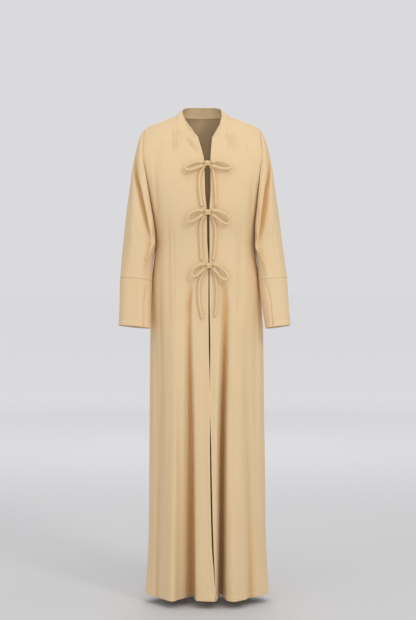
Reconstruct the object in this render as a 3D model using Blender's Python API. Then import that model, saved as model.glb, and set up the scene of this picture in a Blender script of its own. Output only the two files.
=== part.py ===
"""Full-length open-front abaya cloak, worn shape, with three rouleau ties.

Frame: metres, +Z up, the front of the cloak faces -Y. The origin lies between the shoulders, at
the height of the point where the shoulder line meets the neck, so every cut line is placed by its
drop, the distance below that height: z = -drop. Side -1 is the wearer's right, +1 the left.

The cloth is worked out as one surface from rows of sizes. Each cut piece takes its own faces of
that surface, is drawn back from its seams and gets a wall along the shared normals, so that
neighbours keep one even gap.
"""

import bmesh
import bpy
import math
from collections import defaultdict, namedtuple
from mathutils import Vector

# ---------------------------------------------------------------- driving dimensions
CLOTH_WALL = 0.0015        # crepe with its seam allowances, as one wall
SEAM_GAP = 0.0003          # clear gap between neighbouring pieces
HEM_DROP = 1.460           # hem below the shoulder-neck point
UNDERARM_DROP = 0.385      # lowest point of the armhole
CUFF_SEAM_DROP = 0.495     # forearm seam where the cuff is sewn on
CUFF_HEM_DROP = 0.638      # open end of the cuff
NECK_HALF = 0.080          # half width of the neckline on the shoulder line
SHOULDER_SLOPE = 0.375     # fall of the shoulder line per metre of width
TIP_START_HALF = 0.140     # half width from which the shoulder line starts to round over
TIP_ROUNDING = 3.42        # extra fall per metre squared beyond that width
SHOULDER_ROLL = 0.105      # height over which the shoulder rolls to the full depth
ROLL_POWER = 2.2           # squareness of that roll
FOLD_START_DROP = 0.45     # the skirt folds begin under the lowest bow
TIE_RADIUS = 0.0046        # rouleau cord of the ties
TIE_CLEARANCE = 0.0012     # cord to cloth
KNOT_CLEARANCE = 0.0008    # knot to cloth
RIGHT, LEFT = -1, 1
SIDE_NAMES = {RIGHT: "right", LEFT: "left"}

# ---------------------------------------------------------------- tables of the form
# half: half width; front, back: depth at the middle; side_front, side_back: how far before and
# behind the side line the panel ends; square: roundness of the section; lean: sideways shift.
Body = namedtuple("Body", "drop half front back side_front side_back square lean")
BODY = [
    Body(0.0395, 0.1745, 0.076, 0.086, 0.058, 0.058, 2.6, 0.0000),
    Body(0.078, 0.1775, 0.082, 0.094, 0.060, 0.060, 2.6, 0.0000),
    Body(0.117, 0.1790, 0.090, 0.102, 0.068, 0.066, 2.6, 0.0010),
    Body(0.170, 0.1722, 0.104, 0.110, 0.072, 0.064, 2.5, 0.0020),
    Body(0.216, 0.1667, 0.112, 0.114, 0.060, 0.054, 2.4, 0.0033),
    Body(0.273, 0.1600, 0.116, 0.113, 0.042, 0.038, 2.3, 0.0054),
    Body(0.331, 0.1528, 0.113, 0.108, 0.024, 0.018, 2.3, 0.0072),
    Body(UNDERARM_DROP, 0.1500, 0.108, 0.104, 0.010, -0.010, 2.3, 0.0088),
    Body(0.430, 0.1546, 0.106, 0.104, 0.006, -0.006, 2.3, 0.0088),
    Body(0.500, 0.1640, 0.107, 0.107, 0.002, -0.002, 2.3, 0.0105),
    Body(0.580, 0.1690, 0.111, 0.114, 0.000, 0.000, 2.2, 0.0122),
    Body(0.651, 0.1722, 0.116, 0.121, 0.000, 0.000, 2.1, 0.0136),
    Body(0.900, 0.1750, 0.121, 0.129, 0.000, 0.000, 2.0, 0.0140),
    Body(1.100, 0.1778, 0.124, 0.135, 0.000, 0.000, 1.9, 0.0150),
    Body(1.240, 0.1790, 0.126, 0.140, 0.000, 0.000, 1.8, 0.0150),
    Body(1.340, 0.1825, 0.127, 0.143, 0.000, 0.000, 1.7, 0.0152),
    Body(HEM_DROP, 0.1900, 0.128, 0.146, 0.000, 0.000, 1.6, 0.0147),
]

# The front opening: where its middle runs, and half of the gap between its two edges.
Opening = namedtuple("Opening", "drop middle half_gap")
OPENING = [
    Opening(0.067, 0.0086, 0.0217),
    Opening(0.100, 0.0120, 0.0150),
    Opening(0.146, 0.0156, 0.0090),
    Opening(0.228, 0.0168, 0.0084),
    Opening(0.293, 0.0177, 0.0039),
    Opening(0.376, 0.0186, 0.0036),
    Opening(0.451, 0.0204, 0.0014),
    Opening(0.555, 0.0204, 0.0018),
    Opening(0.675, 0.0219, 0.0022),
    Opening(0.855, 0.0234, 0.0006),
    Opening(1.005, 0.0252, 0.0020),
    Opening(1.156, 0.0276, 0.0024),
    Opening(1.292, 0.0315, 0.0026),
    Opening(1.407, 0.0384, 0.0012),
    Opening(HEM_DROP, 0.0400, 0.0008),
]

# The neckline on each side, from the front corner to the shoulder line, then to the middle back.
Neck = namedtuple("Neck", "half drop lean")
FRONT_NECK = [
    Neck(0.0217, 0.0675, 0.0086),
    Neck(0.0420, 0.0670, 0.0080),
    Neck(0.0560, 0.0635, 0.0066),
    Neck(0.0680, 0.0430, 0.0040),
    Neck(0.0765, 0.0160, 0.0010),
    Neck(0.0800, 0.0000, 0.0000),
]
BACK_NECK = [
    Neck(0.0000, 0.0040, 0.0000),
    Neck(0.0280, 0.0036, 0.0000),
    Neck(0.0500, 0.0028, 0.0000),
    Neck(0.0660, 0.0018, 0.0000),
    Neck(0.0755, 0.0008, 0.0000),
    Neck(0.0800, 0.0000, 0.0000),
]

# The upper edge of the stand collar over the same points of the neckline.
CollarTop = namedtuple("CollarTop", "half depth drop lean")
FRONT_COLLAR = [
    CollarTop(0.0421, -0.0740, 0.0406, 0.0068),
    CollarTop(0.0490, -0.0620, 0.0270, 0.0050),
    CollarTop(0.0537, -0.0480, 0.0144, 0.0028),
    CollarTop(0.0575, -0.0330, 0.0020, 0.0010),
    CollarTop(0.0592, -0.0170, -0.0110, -0.0012),
    CollarTop(0.0585, -0.0010, -0.0190, -0.0014),
]
BACK_COLLAR = [
    CollarTop(0.0000, 0.0520, -0.0290, 0.0000),
    CollarTop(0.0200, 0.0495, -0.0288, 0.0000),
    CollarTop(0.0370, 0.0410, -0.0280, -0.0004),
    CollarTop(0.0490, 0.0280, -0.0260, -0.0008),
    CollarTop(0.0560, 0.0130, -0.0226, -0.0012),
    CollarTop(0.0585, -0.0010, -0.0190, -0.0014),
]

# One row of cloth: its drop on the side seam or armhole, and its drop on the middle of the front
# and of the back. The last rows fan out from the neckline instead.
Course = namedtuple("Course", "side front back")
COURSES = [
    Course(HEM_DROP, HEM_DROP, HEM_DROP),
    Course(1.400, 1.400, 1.400),
    Course(1.300, 1.300, 1.300),
    Course(1.160, 1.160, 1.160),
    Course(1.010, 1.010, 1.010),
    Course(0.860, 0.860, 0.860),
    Course(0.740, 0.740, 0.740),
    Course(0.640, 0.640, 0.640),
    Course(0.550, 0.550, 0.550),
    Course(0.480, 0.480, 0.480),
    Course(0.430, 0.430, 0.430),
    Course(UNDERARM_DROP, UNDERARM_DROP, UNDERARM_DROP),
    Course(0.335, 0.325, 0.325),
    Course(0.280, 0.258, 0.255),
    Course(0.228, 0.188, 0.180),
    Course(0.178, 0.125, 0.095),
    Course(0.134, 0.0675, 0.004),
]
NECK_COURSES = [0.105, 0.083, 0.066, 0.051, 0.0395]

# Vertical folds of the skirt: where each line runs at hip, middle and hem, and how far it lies
# behind the smooth form there. A negative inset stands proud of it.
Fold = namedtuple("Fold", "name x_hip x_mid x_hem in_hip in_mid in_hem")
FOLD_DROPS = (0.645, 1.050, HEM_DROP)
FRONT_FOLDS = {
    RIGHT: [
        Fold("strip", -0.0288, -0.0203, -0.0177, 0.001, 0.004, 0.008),
        Fold("valley", -0.0380, -0.0300, -0.0275, 0.017, 0.050, 0.085),
        Fold("flank", -0.0540, -0.0560, -0.0560, 0.003, 0.014, 0.032),
        Fold("crest", -0.0860, -0.0880, -0.0937, -0.004, -0.015, -0.032),
        Fold("hollow", -0.1310, -0.1320, -0.1350, 0.003, 0.004, 0.002),
    ],
    LEFT: [
        Fold("lip", 0.0532, 0.0425, 0.0423, 0.001, 0.003, 0.004),
        Fold("valley", 0.0670, 0.0600, 0.0564, 0.022, 0.065, 0.103),
        Fold("jamb", 0.0820, 0.0740, 0.0738, 0.002, 0.003, 0.002),
        Fold("crest", 0.0970, 0.0970, 0.0985, -0.004, -0.010, -0.022),
        Fold("hollow", 0.1500, 0.1520, 0.1560, 0.004, 0.006, 0.010),
    ],
}
BACK_FOLDS = {
    RIGHT: [
        Fold("valley", -0.0420, -0.0440, -0.0480, 0.010, 0.028, 0.046),
        Fold("crest", -0.0800, -0.0840, -0.0900, -0.003, -0.010, -0.016),
        Fold("hollow", -0.1220, -0.1260, -0.1320, 0.006, 0.014, 0.022),
    ],
    LEFT: [
        Fold("valley", 0.0560, 0.0600, 0.0680, 0.012, 0.034, 0.056),
        Fold("crest", 0.0980, 0.1020, 0.1080, -0.003, -0.008, -0.012),
        Fold("hollow", 0.1400, 0.1440, 0.1500, 0.004, 0.010, 0.016),
    ],
}
PANEL_STEPS = {"front": (2, 2, 2, 2, 2, 3), "back": (3, 3, 3, 4)}
EVEN_COLUMN_DROPS = [0.134, 0.385]  # the columns leave the folds and even out towards the neck

# The sleeve and cuff: outer line, inner edge of the underarm flap, front and back of the tube, a
# soft dip that runs down the front, how round the inner side is, and the tilt of the ring.
Sleeve = namedtuple("Sleeve", "drop outer outer_lean inner inner_lean front back dip_at dip round tilt")
SLEEVE = [
    Sleeve(0.0395, 0.1745, 0.0000, 0.1745, 0.0000, 0.000, 0.000, 0.70, 0.000, 0.0, 0.00),
    Sleeve(0.051, 0.1825, 0.0000, 0.1752, 0.0000, -0.033, 0.033, 0.70, 0.000, 0.0, 0.00),
    Sleeve(0.066, 0.1895, 0.0000, 0.1764, 0.0000, -0.045, 0.046, 0.75, 0.000, 0.0, 0.00),
    Sleeve(0.083, 0.1955, 0.0000, 0.1778, 0.0003, -0.054, 0.056, 0.80, 0.002, 0.0, 0.00),
    Sleeve(0.105, 0.2012, 0.0000, 0.1788, 0.0008, -0.064, 0.065, 0.85, 0.003, 0.0, 0.00),
    Sleeve(0.134, 0.2076, 0.0000, 0.1773, 0.0013, -0.073, 0.072, 0.85, 0.005, 0.0, 0.00),
    Sleeve(0.178, 0.2156, 0.0000, 0.1712, 0.0022, -0.081, 0.078, 0.72, 0.009, 0.0, 0.00),
    Sleeve(0.228, 0.2224, 0.0000, 0.1643, 0.0037, -0.087, 0.080, 0.52, 0.012, 0.0, 0.00),
    Sleeve(0.280, 0.2296, 0.0004, 0.1575, 0.0056, -0.089, 0.076, 0.40, 0.013, 0.0, 0.00),
    Sleeve(0.335, 0.2360, 0.0010, 0.1505, 0.0074, -0.088, 0.067, 0.30, 0.012, 0.0, 0.00),
    Sleeve(UNDERARM_DROP, 0.2412, 0.0016, 0.1480, 0.0088, -0.085, 0.056, 0.24, 0.010, 0.1, 0.00),
    Sleeve(0.430, 0.2462, 0.0022, 0.1555, 0.0086, -0.085, 0.034, 0.22, 0.006, 0.6, 0.06),
    Sleeve(0.465, 0.2495, 0.0034, 0.1594, 0.0092, -0.086, 0.015, 0.32, 0.002, 0.9, 0.08),
    Sleeve(CUFF_SEAM_DROP, 0.2525, 0.0040, 0.1613, 0.0098, -0.087, 0.002, 0.46, 0.000, 1.0, 0.10),
    Sleeve(0.566, 0.2548, 0.0052, 0.1668, 0.0122, -0.095, -0.015, 0.46, 0.000, 1.0, 0.11),
    Sleeve(CUFF_HEM_DROP, 0.2587, 0.0066, 0.1732, 0.0177, -0.104, -0.028, 0.46, 0.000, 1.0, 0.12),
]
SLEEVE_COURSES = [0.430, 0.465, CUFF_SEAM_DROP]
CUFF_COURSES = [CUFF_SEAM_DROP, 0.566, CUFF_HEM_DROP]
UNDERARM_EASE = 0.050      # drop over which the sleeve draws clear of the side below the armhole
SLEEVE_STEPS = (2, 1)      # facets between two named points of its front and of its back
SEAM_RISE = 0.009          # the cuff seam and hem climb this much towards the outer side

# ---------------------------------------------------------------- routes of the ties
# Points of the cords as x, drop and lift, the distance of the cord's back from the cloth.
Bow = namedtuple("Bow", "name knot loops tails")
KNOT_SIZE = (0.0105, 0.0070, 0.0080)
BOWS = [
    Bow(
        "top", (0.0160, 0.1480),
        {RIGHT: [(0.003, 0.1450, 0.008), (-0.012, 0.1435, 0.008), (-0.029, 0.1475, 0.008),
                 (-0.044, 0.1550, 0.008), (-0.051, 0.1625, 0.008), (-0.044, 0.1680, 0.008),
                 (-0.028, 0.1660, 0.009), (-0.012, 0.1600, 0.010), (0.003, 0.1548, 0.011)],
         LEFT: [(0.029, 0.1450, 0.008), (0.043, 0.1420, 0.008), (0.058, 0.1430, 0.009),
                (0.074, 0.1490, 0.010), (0.0865, 0.1570, 0.010), (0.0785, 0.1640, 0.009),
                (0.062, 0.1640, 0.009), (0.044, 0.1600, 0.010), (0.029, 0.1548, 0.011)]},
        {RIGHT: [(0.0070, 0.1570, 0.000), (0.000, 0.1660, 0.000), (-0.0060, 0.1790, 0.000),
                 (-0.0085, 0.1970, 0.000), (-0.0085, 0.2200, 0.000), (-0.0060, 0.2450, 0.000),
                 (-0.0030, 0.2640, 0.000), (-0.0005, 0.2770, 0.000)],
         LEFT: [(0.0250, 0.1570, 0.000), (0.0315, 0.1670, 0.000), (0.0350, 0.1800, 0.000),
                (0.0365, 0.2000, 0.000), (0.0385, 0.2250, 0.000), (0.0400, 0.2500, 0.000),
                (0.0408, 0.2770, 0.000)]},
    ),
    Bow(
        "middle", (0.0165, 0.2940),
        {RIGHT: [(0.004, 0.2895, 0.008), (-0.010, 0.2880, 0.008), (-0.024, 0.2920, 0.009),
                 (-0.038, 0.3010, 0.009), (-0.0445, 0.3130, 0.009), (-0.040, 0.3225, 0.009),
                 (-0.028, 0.3210, 0.010), (-0.012, 0.3110, 0.011), (0.003, 0.3000, 0.011)],
         LEFT: [(0.030, 0.2895, 0.008), (0.044, 0.2895, 0.008), (0.060, 0.2955, 0.009),
                (0.075, 0.3060, 0.010), (0.0825, 0.3185, 0.010), (0.0755, 0.3285, 0.010),
                (0.060, 0.3235, 0.010), (0.045, 0.3120, 0.011), (0.030, 0.3000, 0.011)]},
        {RIGHT: [(0.0080, 0.3035, 0.000), (0.001, 0.3130, 0.000), (-0.0040, 0.3270, 0.000),
                 (-0.0055, 0.3470, 0.000), (-0.0048, 0.3720, 0.000), (-0.0035, 0.4000, 0.000),
                 (-0.0022, 0.4220, 0.000), (-0.0015, 0.4370, 0.000)],
         LEFT: [(0.0255, 0.3035, 0.000), (0.0330, 0.3160, 0.000), (0.0385, 0.3350, 0.000),
                (0.0400, 0.3570, 0.000), (0.0395, 0.3820, 0.000), (0.0370, 0.4100, 0.000),
                (0.0325, 0.4370, 0.000)]},
    ),
    Bow(
        "bottom", (0.0205, 0.4540),
        {RIGHT: [(0.008, 0.4495, 0.008), (-0.003, 0.4490, 0.008), (-0.015, 0.4545, 0.009),
                 (-0.027, 0.4640, 0.009), (-0.0315, 0.4755, 0.009), (-0.0255, 0.4850, 0.010),
                 (-0.0140, 0.4805, 0.011), (-0.002, 0.4700, 0.011), (0.008, 0.4600, 0.011)],
         LEFT: [(0.033, 0.4495, 0.008), (0.045, 0.4515, 0.008), (0.057, 0.4600, 0.009),
                (0.070, 0.4730, 0.010), (0.0775, 0.4865, 0.010), (0.0700, 0.4950, 0.010),
                (0.056, 0.4880, 0.010), (0.044, 0.4740, 0.011), (0.033, 0.4600, 0.011)]},
        {RIGHT: [(0.0120, 0.4635, 0.000), (0.004, 0.4730, 0.000), (-0.0035, 0.4870, 0.000),
                 (-0.0085, 0.5070, 0.000), (-0.0100, 0.5300, 0.000), (-0.0085, 0.5620, 0.000),
                 (-0.0040, 0.5880, 0.000), (0.0010, 0.6110, 0.000)],
         LEFT: [(0.0295, 0.4635, 0.000), (0.0365, 0.4770, 0.000), (0.0410, 0.4970, 0.000),
                (0.0435, 0.5220, 0.000), (0.0435, 0.5520, 0.000), (0.0415, 0.5800, 0.000),
                (0.0380, 0.6050, 0.000)]},
    ),
]
CORD_SPACING = 0.014       # distance between the points of a cord's solid
ROUTE_STEPS = 12           # fine steps between two points of a route


# ---------------------------------------------------------------- interpolation
def smooth(xs, ys, x):
    """Value at x of the monotone cubic through the points (xs, ys), level beyond its ends."""
    if x <= xs[0]:
        return ys[0]
    if x >= xs[-1]:
        return ys[-1]
    steps = [b - a for a, b in zip(xs, xs[1:])]
    slopes = [(b - a) / h for a, b, h in zip(ys, ys[1:], steps)]
    k = max(i for i in range(len(steps)) if xs[i] <= x)

    def tangent(i):
        if i == 0 or i == len(slopes):
            return slopes[min(i, len(slopes) - 1)]
        before, after = slopes[i - 1], slopes[i]
        if before * after <= 0.0:
            return 0.0
        w1 = 2 * steps[i] + steps[i - 1]
        w2 = steps[i] + 2 * steps[i - 1]
        return (w1 + w2) / (w1 / before + w2 / after)

    t = (x - xs[k]) / steps[k]
    low = (1 + 2 * t) * (1 - t) ** 2 * ys[k] + t * (1 - t) ** 2 * steps[k] * tangent(k)
    high = t * t * (3 - 2 * t) * ys[k + 1] + t * t * (t - 1) * steps[k] * tangent(k + 1)
    return low + high


def look_up(table, column, drop):
    """Value of a table's column at a drop."""
    rows = sorted(table, key=lambda row: row.drop)
    return smooth([row.drop for row in rows], [getattr(row, column) for row in rows], drop)


def mix(a, b, t):
    """Straight blend of two numbers or two vectors."""
    return a + (b - a) * t


def curve_through(points, steps, closed_ends=None):
    """Points of a soft curve through the given ones, with a number of steps for each gap."""
    before = closed_ends[0] if closed_ends else 2 * points[0] - points[1]
    after = closed_ends[1] if closed_ends else 2 * points[-1] - points[-2]
    ring = [before] + list(points) + [after]
    out = []
    for count, a, b, c, d in zip(steps, ring, ring[1:], ring[2:], ring[3:]):
        for k in range(count):
            t = k / count
            out.append(0.5 * ((2 * b) + (c - a) * t + (2 * a - 5 * b + 4 * c - d) * t * t
                              + (3 * b - a - 3 * c + d) * t ** 3))
    out.append(points[-1])
    return out


# ---------------------------------------------------------------- form of the body
def shoulder_line(half):
    """Drop of the shoulder line at a half width."""
    return SHOULDER_SLOPE * (half - NECK_HALF) + TIP_ROUNDING * max(0.0, half - TIP_START_HALF) ** 2


def shoulder_roll(half, drop):
    """Share of the full depth that the cloth has reached at this width and drop."""
    below = drop - shoulder_line(half)
    t = min(max(below / SHOULDER_ROLL, 0.0), 1.0)
    return (1.0 - (1.0 - t) ** ROLL_POWER) ** (1.0 / ROLL_POWER)


def fold_line(fold, drop):
    """x of a fold line and its inset at a drop."""
    drops = list(FOLD_DROPS)
    x = smooth(drops, [fold.x_hip, fold.x_mid, fold.x_hem], drop)
    inset = smooth([FOLD_START_DROP] + drops, [0.0, fold.in_hip, fold.in_mid, fold.in_hem], drop)
    return x, inset


def fold_angles(folds, side, drop, edge_x):
    """Angles round the section of the opening edge, the fold lines and the side, with insets."""
    shape_drop = max(drop, FOLD_DROPS[0])
    half = look_up(BODY, "half", shape_drop)
    lean = look_up(BODY, "lean", shape_drop)
    start = math.asin(side * (edge_x - lean) / half)
    angles, insets = [start], [0.0]
    for fold in folds:
        x, inset = fold_line(fold, shape_drop)
        angles.append(math.asin(side * (x - lean) / half))
        insets.append(fold_line(fold, drop)[1])
    angles.append(math.pi / 2)
    insets.append(0.0)
    return angles, insets


def panel_depth(which, x, drop):
    """Depth of the smooth front or back at x and drop, the shoulder's roll included."""
    full = look_up(BODY, which, drop)
    edge = look_up(BODY, "side_" + which, drop)
    square = look_up(BODY, "square", drop)
    half = abs(x - look_up(BODY, "lean", drop))
    share = min(half / look_up(BODY, "half", drop), 1.0)
    section = (1.0 - share ** square) ** (1.0 / square)
    return (edge + (full - edge) * section) * shoulder_roll(half, drop)


def opening_edge(side, drop):
    """x of the front edge on one side."""
    return look_up(OPENING, "middle", drop) + side * look_up(OPENING, "half_gap", drop)


def panel_row(which, side, side_drop, middle_drop, neck=None):
    """Points of one row of a front or of half a back, from the middle to the side."""
    folds = FRONT_FOLDS[side] if which == "front" else BACK_FOLDS[side]
    half = look_up(BODY, "half", side_drop)
    lean_out = look_up(BODY, "lean", side_drop)
    if neck:
        inner_x, lean_in = neck.lean + side * neck.half, neck.lean
    elif which == "front":
        inner_x, lean_in = opening_edge(side, middle_drop), lean_out
    else:
        inner_x, lean_in = lean_out, lean_out
    shape_drop = max(side_drop, FOLD_DROPS[0])
    edge_x = opening_edge(side, shape_drop) if which == "front" else look_up(BODY, "lean", shape_drop)
    angles, insets = fold_angles(folds, side, side_drop, edge_x)
    start = math.asin(side * (inner_x - lean_in) / half)
    turn = -1 if which == "front" else 1
    aligned = []
    for k, steps in enumerate(PANEL_STEPS[which]):
        aligned += [mix(angles[k], angles[k + 1], j / steps) for j in range(steps)]
    aligned.append(angles[-1])
    even = smooth(EVEN_COLUMN_DROPS, [1.0, 0.0], side_drop)
    row = []
    for k, angle in enumerate(aligned):
        reach = (angle - angles[0]) / (angles[-1] - angles[0])
        reach = mix(reach, k / (len(aligned) - 1), even)
        share = math.sin(mix(start, math.pi / 2, reach))
        across = (share - math.sin(start)) / (1.0 - math.sin(start))
        level = mix(middle_drop, side_drop, across)
        sloped = shoulder_line(half * share) + mix(
            middle_drop - shoulder_line(half * math.sin(start)), side_drop - shoulder_line(half), across)
        drop = mix(level, sloped, even)
        lean = mix(lean_in, lean_out, across)
        x = lean + side * half * share
        depth = panel_depth(which, x, drop) - smooth(angles, insets, angle)
        row.append(Vector((x, turn * depth, -drop)))
    return row


def panel_rows(which, side):
    """All rows of a front or of half a back, from the hem to the shoulder line."""
    neckline = FRONT_NECK if which == "front" else BACK_NECK
    rows = [panel_row(which, side, c.side, getattr(c, which)) for c in COURSES[:-1]]
    top = COURSES[-1]
    rows.append(panel_row(which, side, top.side, neckline[0].drop, neckline[0]))
    for neck, side_drop in zip(neckline[1:], NECK_COURSES):
        rows.append(panel_row(which, side, side_drop, neck.drop, neck))
    return rows


# ---------------------------------------------------------------- form of the sleeves
def armhole_point(side, drop, which):
    """Point of the front or back armhole, on the edge of the body panels."""
    return panel_row(which, side, drop, drop)[-1]


def sleeve_ring(side, drop):
    """Section of a sleeve or cuff from its inner seam round the front and back to it again."""
    row = {name: look_up(SLEEVE, name, drop) for name in Sleeve._fields}
    outer = row["outer_lean"] + side * row["outer"]
    inner = row["inner_lean"] + side * row["inner"]
    front, back, roundness = row["front"], row["back"], row["round"]
    middle = 0.5 * (front + back)
    if drop <= UNDERARM_DROP:
        seams = [armhole_point(side, drop, which) for which in ("front", "back")]
    else:
        ease = max(0.0, 1.0 - (drop - UNDERARM_DROP) / UNDERARM_EASE)
        start = armhole_point(side, UNDERARM_DROP, "front")
        start_inner = look_up(SLEEVE, "inner_lean", UNDERARM_DROP) + side * look_up(
            SLEEVE, "inner", UNDERARM_DROP)
        seam = Vector((inner + (start.x - start_inner) * ease ** 2, mix(middle, start.y, ease), 0.0))
        seams = [seam, seam]

    def at(share, y):
        return Vector((mix(inner, outer, share), y, 0.0))

    def round_off(share, depth):
        s = max(0.0, (share - 0.3) / 0.7)
        return mix(middle, depth, math.sqrt(max(0.0, 1.0 - s * s)))

    wall, shoulder = mix(0.015, 0.07, roundness), mix(0.06, 0.22, roundness)
    dip_at = row["dip_at"]
    swell = 0.5 * (dip_at + 1.0)
    rim = 0.4 * swell + 0.6
    seam_front, seam_back = (Vector((s.x, s.y, 0.0)) for s in seams)
    named = [
        seam_front,
        at(wall, mix(front, seam_front.y, 0.45)),
        at(shoulder, mix(front, seam_front.y, 0.10)),
        at(mix(shoulder, dip_at, 0.5), front),
        at(dip_at, round_off(dip_at, front) + row["dip"]),
        at(swell, round_off(swell, front)),
        at(rim, round_off(rim, front)),
        at(1.0, middle),
        at(0.90, round_off(0.90, back)),
        at(0.62, round_off(0.62, back)),
        at(mix(shoulder, 0.62, 0.4), back),
        at(shoulder, mix(back, seam_back.y, 0.10)),
        at(wall, mix(back, seam_back.y, 0.45)),
        seam_back,
    ]
    closed = drop > UNDERARM_DROP
    steps = [SLEEVE_STEPS[0]] * 7 + [SLEEVE_STEPS[1]] * 6
    ring = curve_through(named, steps, (named[-2], named[1]) if closed else None)
    settled = smooth([UNDERARM_DROP, CUFF_SEAM_DROP], [0.0, 1.0], drop)
    for point in ring:
        share = (point.x - inner) / (outer - inner) if abs(outer - inner) > 1e-6 else 0.0
        rise = settled * SEAM_RISE * (share - 0.5)
        point.z = -(drop + row["tilt"] * (point.y - middle) - rise)
    if not closed:
        ring[0], ring[-1] = seams[0].copy(), seams[1].copy()
        ring[0].z = ring[-1].z = -drop
    return ring


def sleeve_rows(side):
    """Rings of the sleeve from the shoulder point to the cuff seam."""
    armhole = [c.side for c in COURSES if c.side <= UNDERARM_DROP] + NECK_COURSES
    tip = armhole_point(side, armhole[-1], "front")
    count = len(sleeve_ring(side, CUFF_SEAM_DROP))
    rows = [[tip] * count]
    rows += [sleeve_ring(side, drop) for drop in reversed(armhole[:-1])]
    rows += [sleeve_ring(side, drop) for drop in SLEEVE_COURSES]
    return rows


def collar_rows():
    """Lower and upper row of the collar, from the right front end round the back to the left."""
    def chain(neck_row, top_row, side, which):
        low = [panel_row(which, side, d, n.drop, n)[0]
               for n, d in zip(neck_row, [COURSES[-1].side] + NECK_COURSES)]
        high = [Vector((t.lean + side * t.half, t.depth, -t.drop)) for t in top_row]
        return low, high

    low, high = [], []
    for side in (RIGHT, LEFT):
        front_low, front_high = chain(FRONT_NECK, FRONT_COLLAR, side, "front")
        back_low, back_high = chain(BACK_NECK, BACK_COLLAR, side, "back")
        side_low = front_low + back_low[-2::-1]
        side_high = front_high + back_high[-2::-1]
        if side == LEFT:
            side_low, side_high = side_low[-2::-1], side_high[-2::-1]
        low += side_low
        high += side_high
    middle = [mix(a, b, 0.5) + outward_bulge(a, b) for a, b in zip(low, high)]
    return [low, middle, high]


def outward_bulge(low, high):
    """Small outward swell half way up the collar band."""
    centre = Vector((0.0, -0.010, low.z))
    away = (low - centre)
    away.z = 0.0
    return away.normalized() * 0.0015


# ---------------------------------------------------------------- from rows to solids
def face_loops(rows, flip):
    """Quads between rows, as lists of points, without their doubled corners."""
    loops = []
    for low, high in zip(rows, rows[1:]):
        for k in range(len(low) - 1):
            loop = [low[k], low[k + 1], high[k + 1], high[k]]
            if flip:
                loop.reverse()
            clean = [p for i, p in enumerate(loop) if (p - loop[i - 1]).length > 1e-6]
            if len(clean) > 2:
                loops.append(clean)
    return loops


def key(point):
    """Rounded place of a point, the same for points that coincide."""
    return tuple(round(c * 1e5) for c in point)


class Cloth:
    """The garment's surface: all faces by piece, with shared points and normals."""

    def __init__(self):
        self.faces = defaultdict(list)
        self.places = {}
        self.normals = defaultdict(Vector)
        self.owners = defaultdict(set)

    def add(self, piece, rows, flip):
        """Add the faces between rows of points to a piece."""
        for loop in face_loops(rows, flip):
            keys = [key(p) for p in loop]
            if len(set(keys)) < 3:
                continue
            normal = sum((a.cross(b) for a, b in zip(loop, loop[1:] + loop[:1])), Vector())
            for i, k in enumerate(keys):
                self.places.setdefault(k, loop[i])
                corner = (loop[i - 1] - loop[i]).angle(loop[(i + 1) % len(loop)] - loop[i])
                self.normals[k] += normal.normalized() * corner
            for a, b in zip(keys, keys[1:] + keys[:1]):
                self.owners[frozenset((a, b))].add(piece)
            self.faces[piece].append(keys)

    def border(self, piece):
        """Border edges of a piece, each in the order of its own face."""
        seen = defaultdict(list)
        for loop in self.faces[piece]:
            for a, b in zip(loop, loop[1:] + loop[:1]):
                seen[frozenset((a, b))].append((a, b))
        return [uses[0] for uses in seen.values() if len(uses) == 1]

    def draw_back(self, piece):
        """Shift of each seam point of a piece, half the seam gap into the piece."""
        pushes = defaultdict(list)
        for a, b in self.border(piece):
            if len(self.owners[frozenset((a, b))]) < 2:
                continue
            normal = self.normals[a].normalized() + self.normals[b].normalized()
            inward = normal.cross(self.places[b] - self.places[a]).normalized()
            pushes[a].append(inward)
            pushes[b].append(inward)
        shifts = {}
        for k, inward in pushes.items():
            total = sum(inward, Vector()).normalized()
            shifts[k] = total * (0.5 * SEAM_GAP / max(0.4, total.dot(inward[0])))
        return shifts

    def solid(self, piece):
        """Closed wall of a piece as a bmesh: outer skin, inner skin and rims."""
        shifts = self.draw_back(piece)
        bm = bmesh.new()
        outer, inner = {}, {}
        for loop in self.faces[piece]:
            for k in loop:
                if k not in outer:
                    place = self.places[k] + shifts.get(k, Vector())
                    outer[k] = bm.verts.new(place)
                    inner[k] = bm.verts.new(place - self.normals[k].normalized() * CLOTH_WALL)
            bm.faces.new([outer[k] for k in loop])
            bm.faces.new([inner[k] for k in reversed(loop)])
        for a, b in self.border(piece):
            if a[2] < b[2]:
                bm.faces.new([outer[b], outer[a], inner[b]])
                bm.faces.new([outer[a], inner[a], inner[b]])
            else:
                bm.faces.new([outer[b], outer[a], inner[a]])
                bm.faces.new([outer[b], inner[a], inner[b]])
        bmesh.ops.recalc_face_normals(bm, faces=bm.faces)
        return bm


def build_surface():
    """The whole garment's surface with its pieces named."""
    cloth = Cloth()
    for side in (RIGHT, LEFT):
        name = SIDE_NAMES[side]
        cloth.add("front_" + name, panel_rows("front", side), flip=side == RIGHT)
        cloth.add("back", panel_rows("back", side), flip=side == LEFT)
        cloth.add("sleeve_" + name, sleeve_rows(side), flip=side == LEFT)
        cuff = [sleeve_ring(side, drop) for drop in CUFF_COURSES]
        cloth.add("cuff_" + name, cuff, flip=side == LEFT)
        cloth.normals[key(armhole_point(side, UNDERARM_DROP, "front"))] = Vector((0.0, 0.0, -1.0))
    cloth.add("collar", collar_rows(), flip=True)
    return cloth


# ---------------------------------------------------------------- ties
def front_surface(x, drop):
    """y of the smooth front at x and drop."""
    return -panel_depth("front", x, drop)


def cord_point(x, drop, lift):
    """Centre of a cord that lies over the front with a lift."""
    return Vector((x, front_surface(x, drop) - TIE_CLEARANCE - TIE_RADIUS - lift, -drop))


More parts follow.
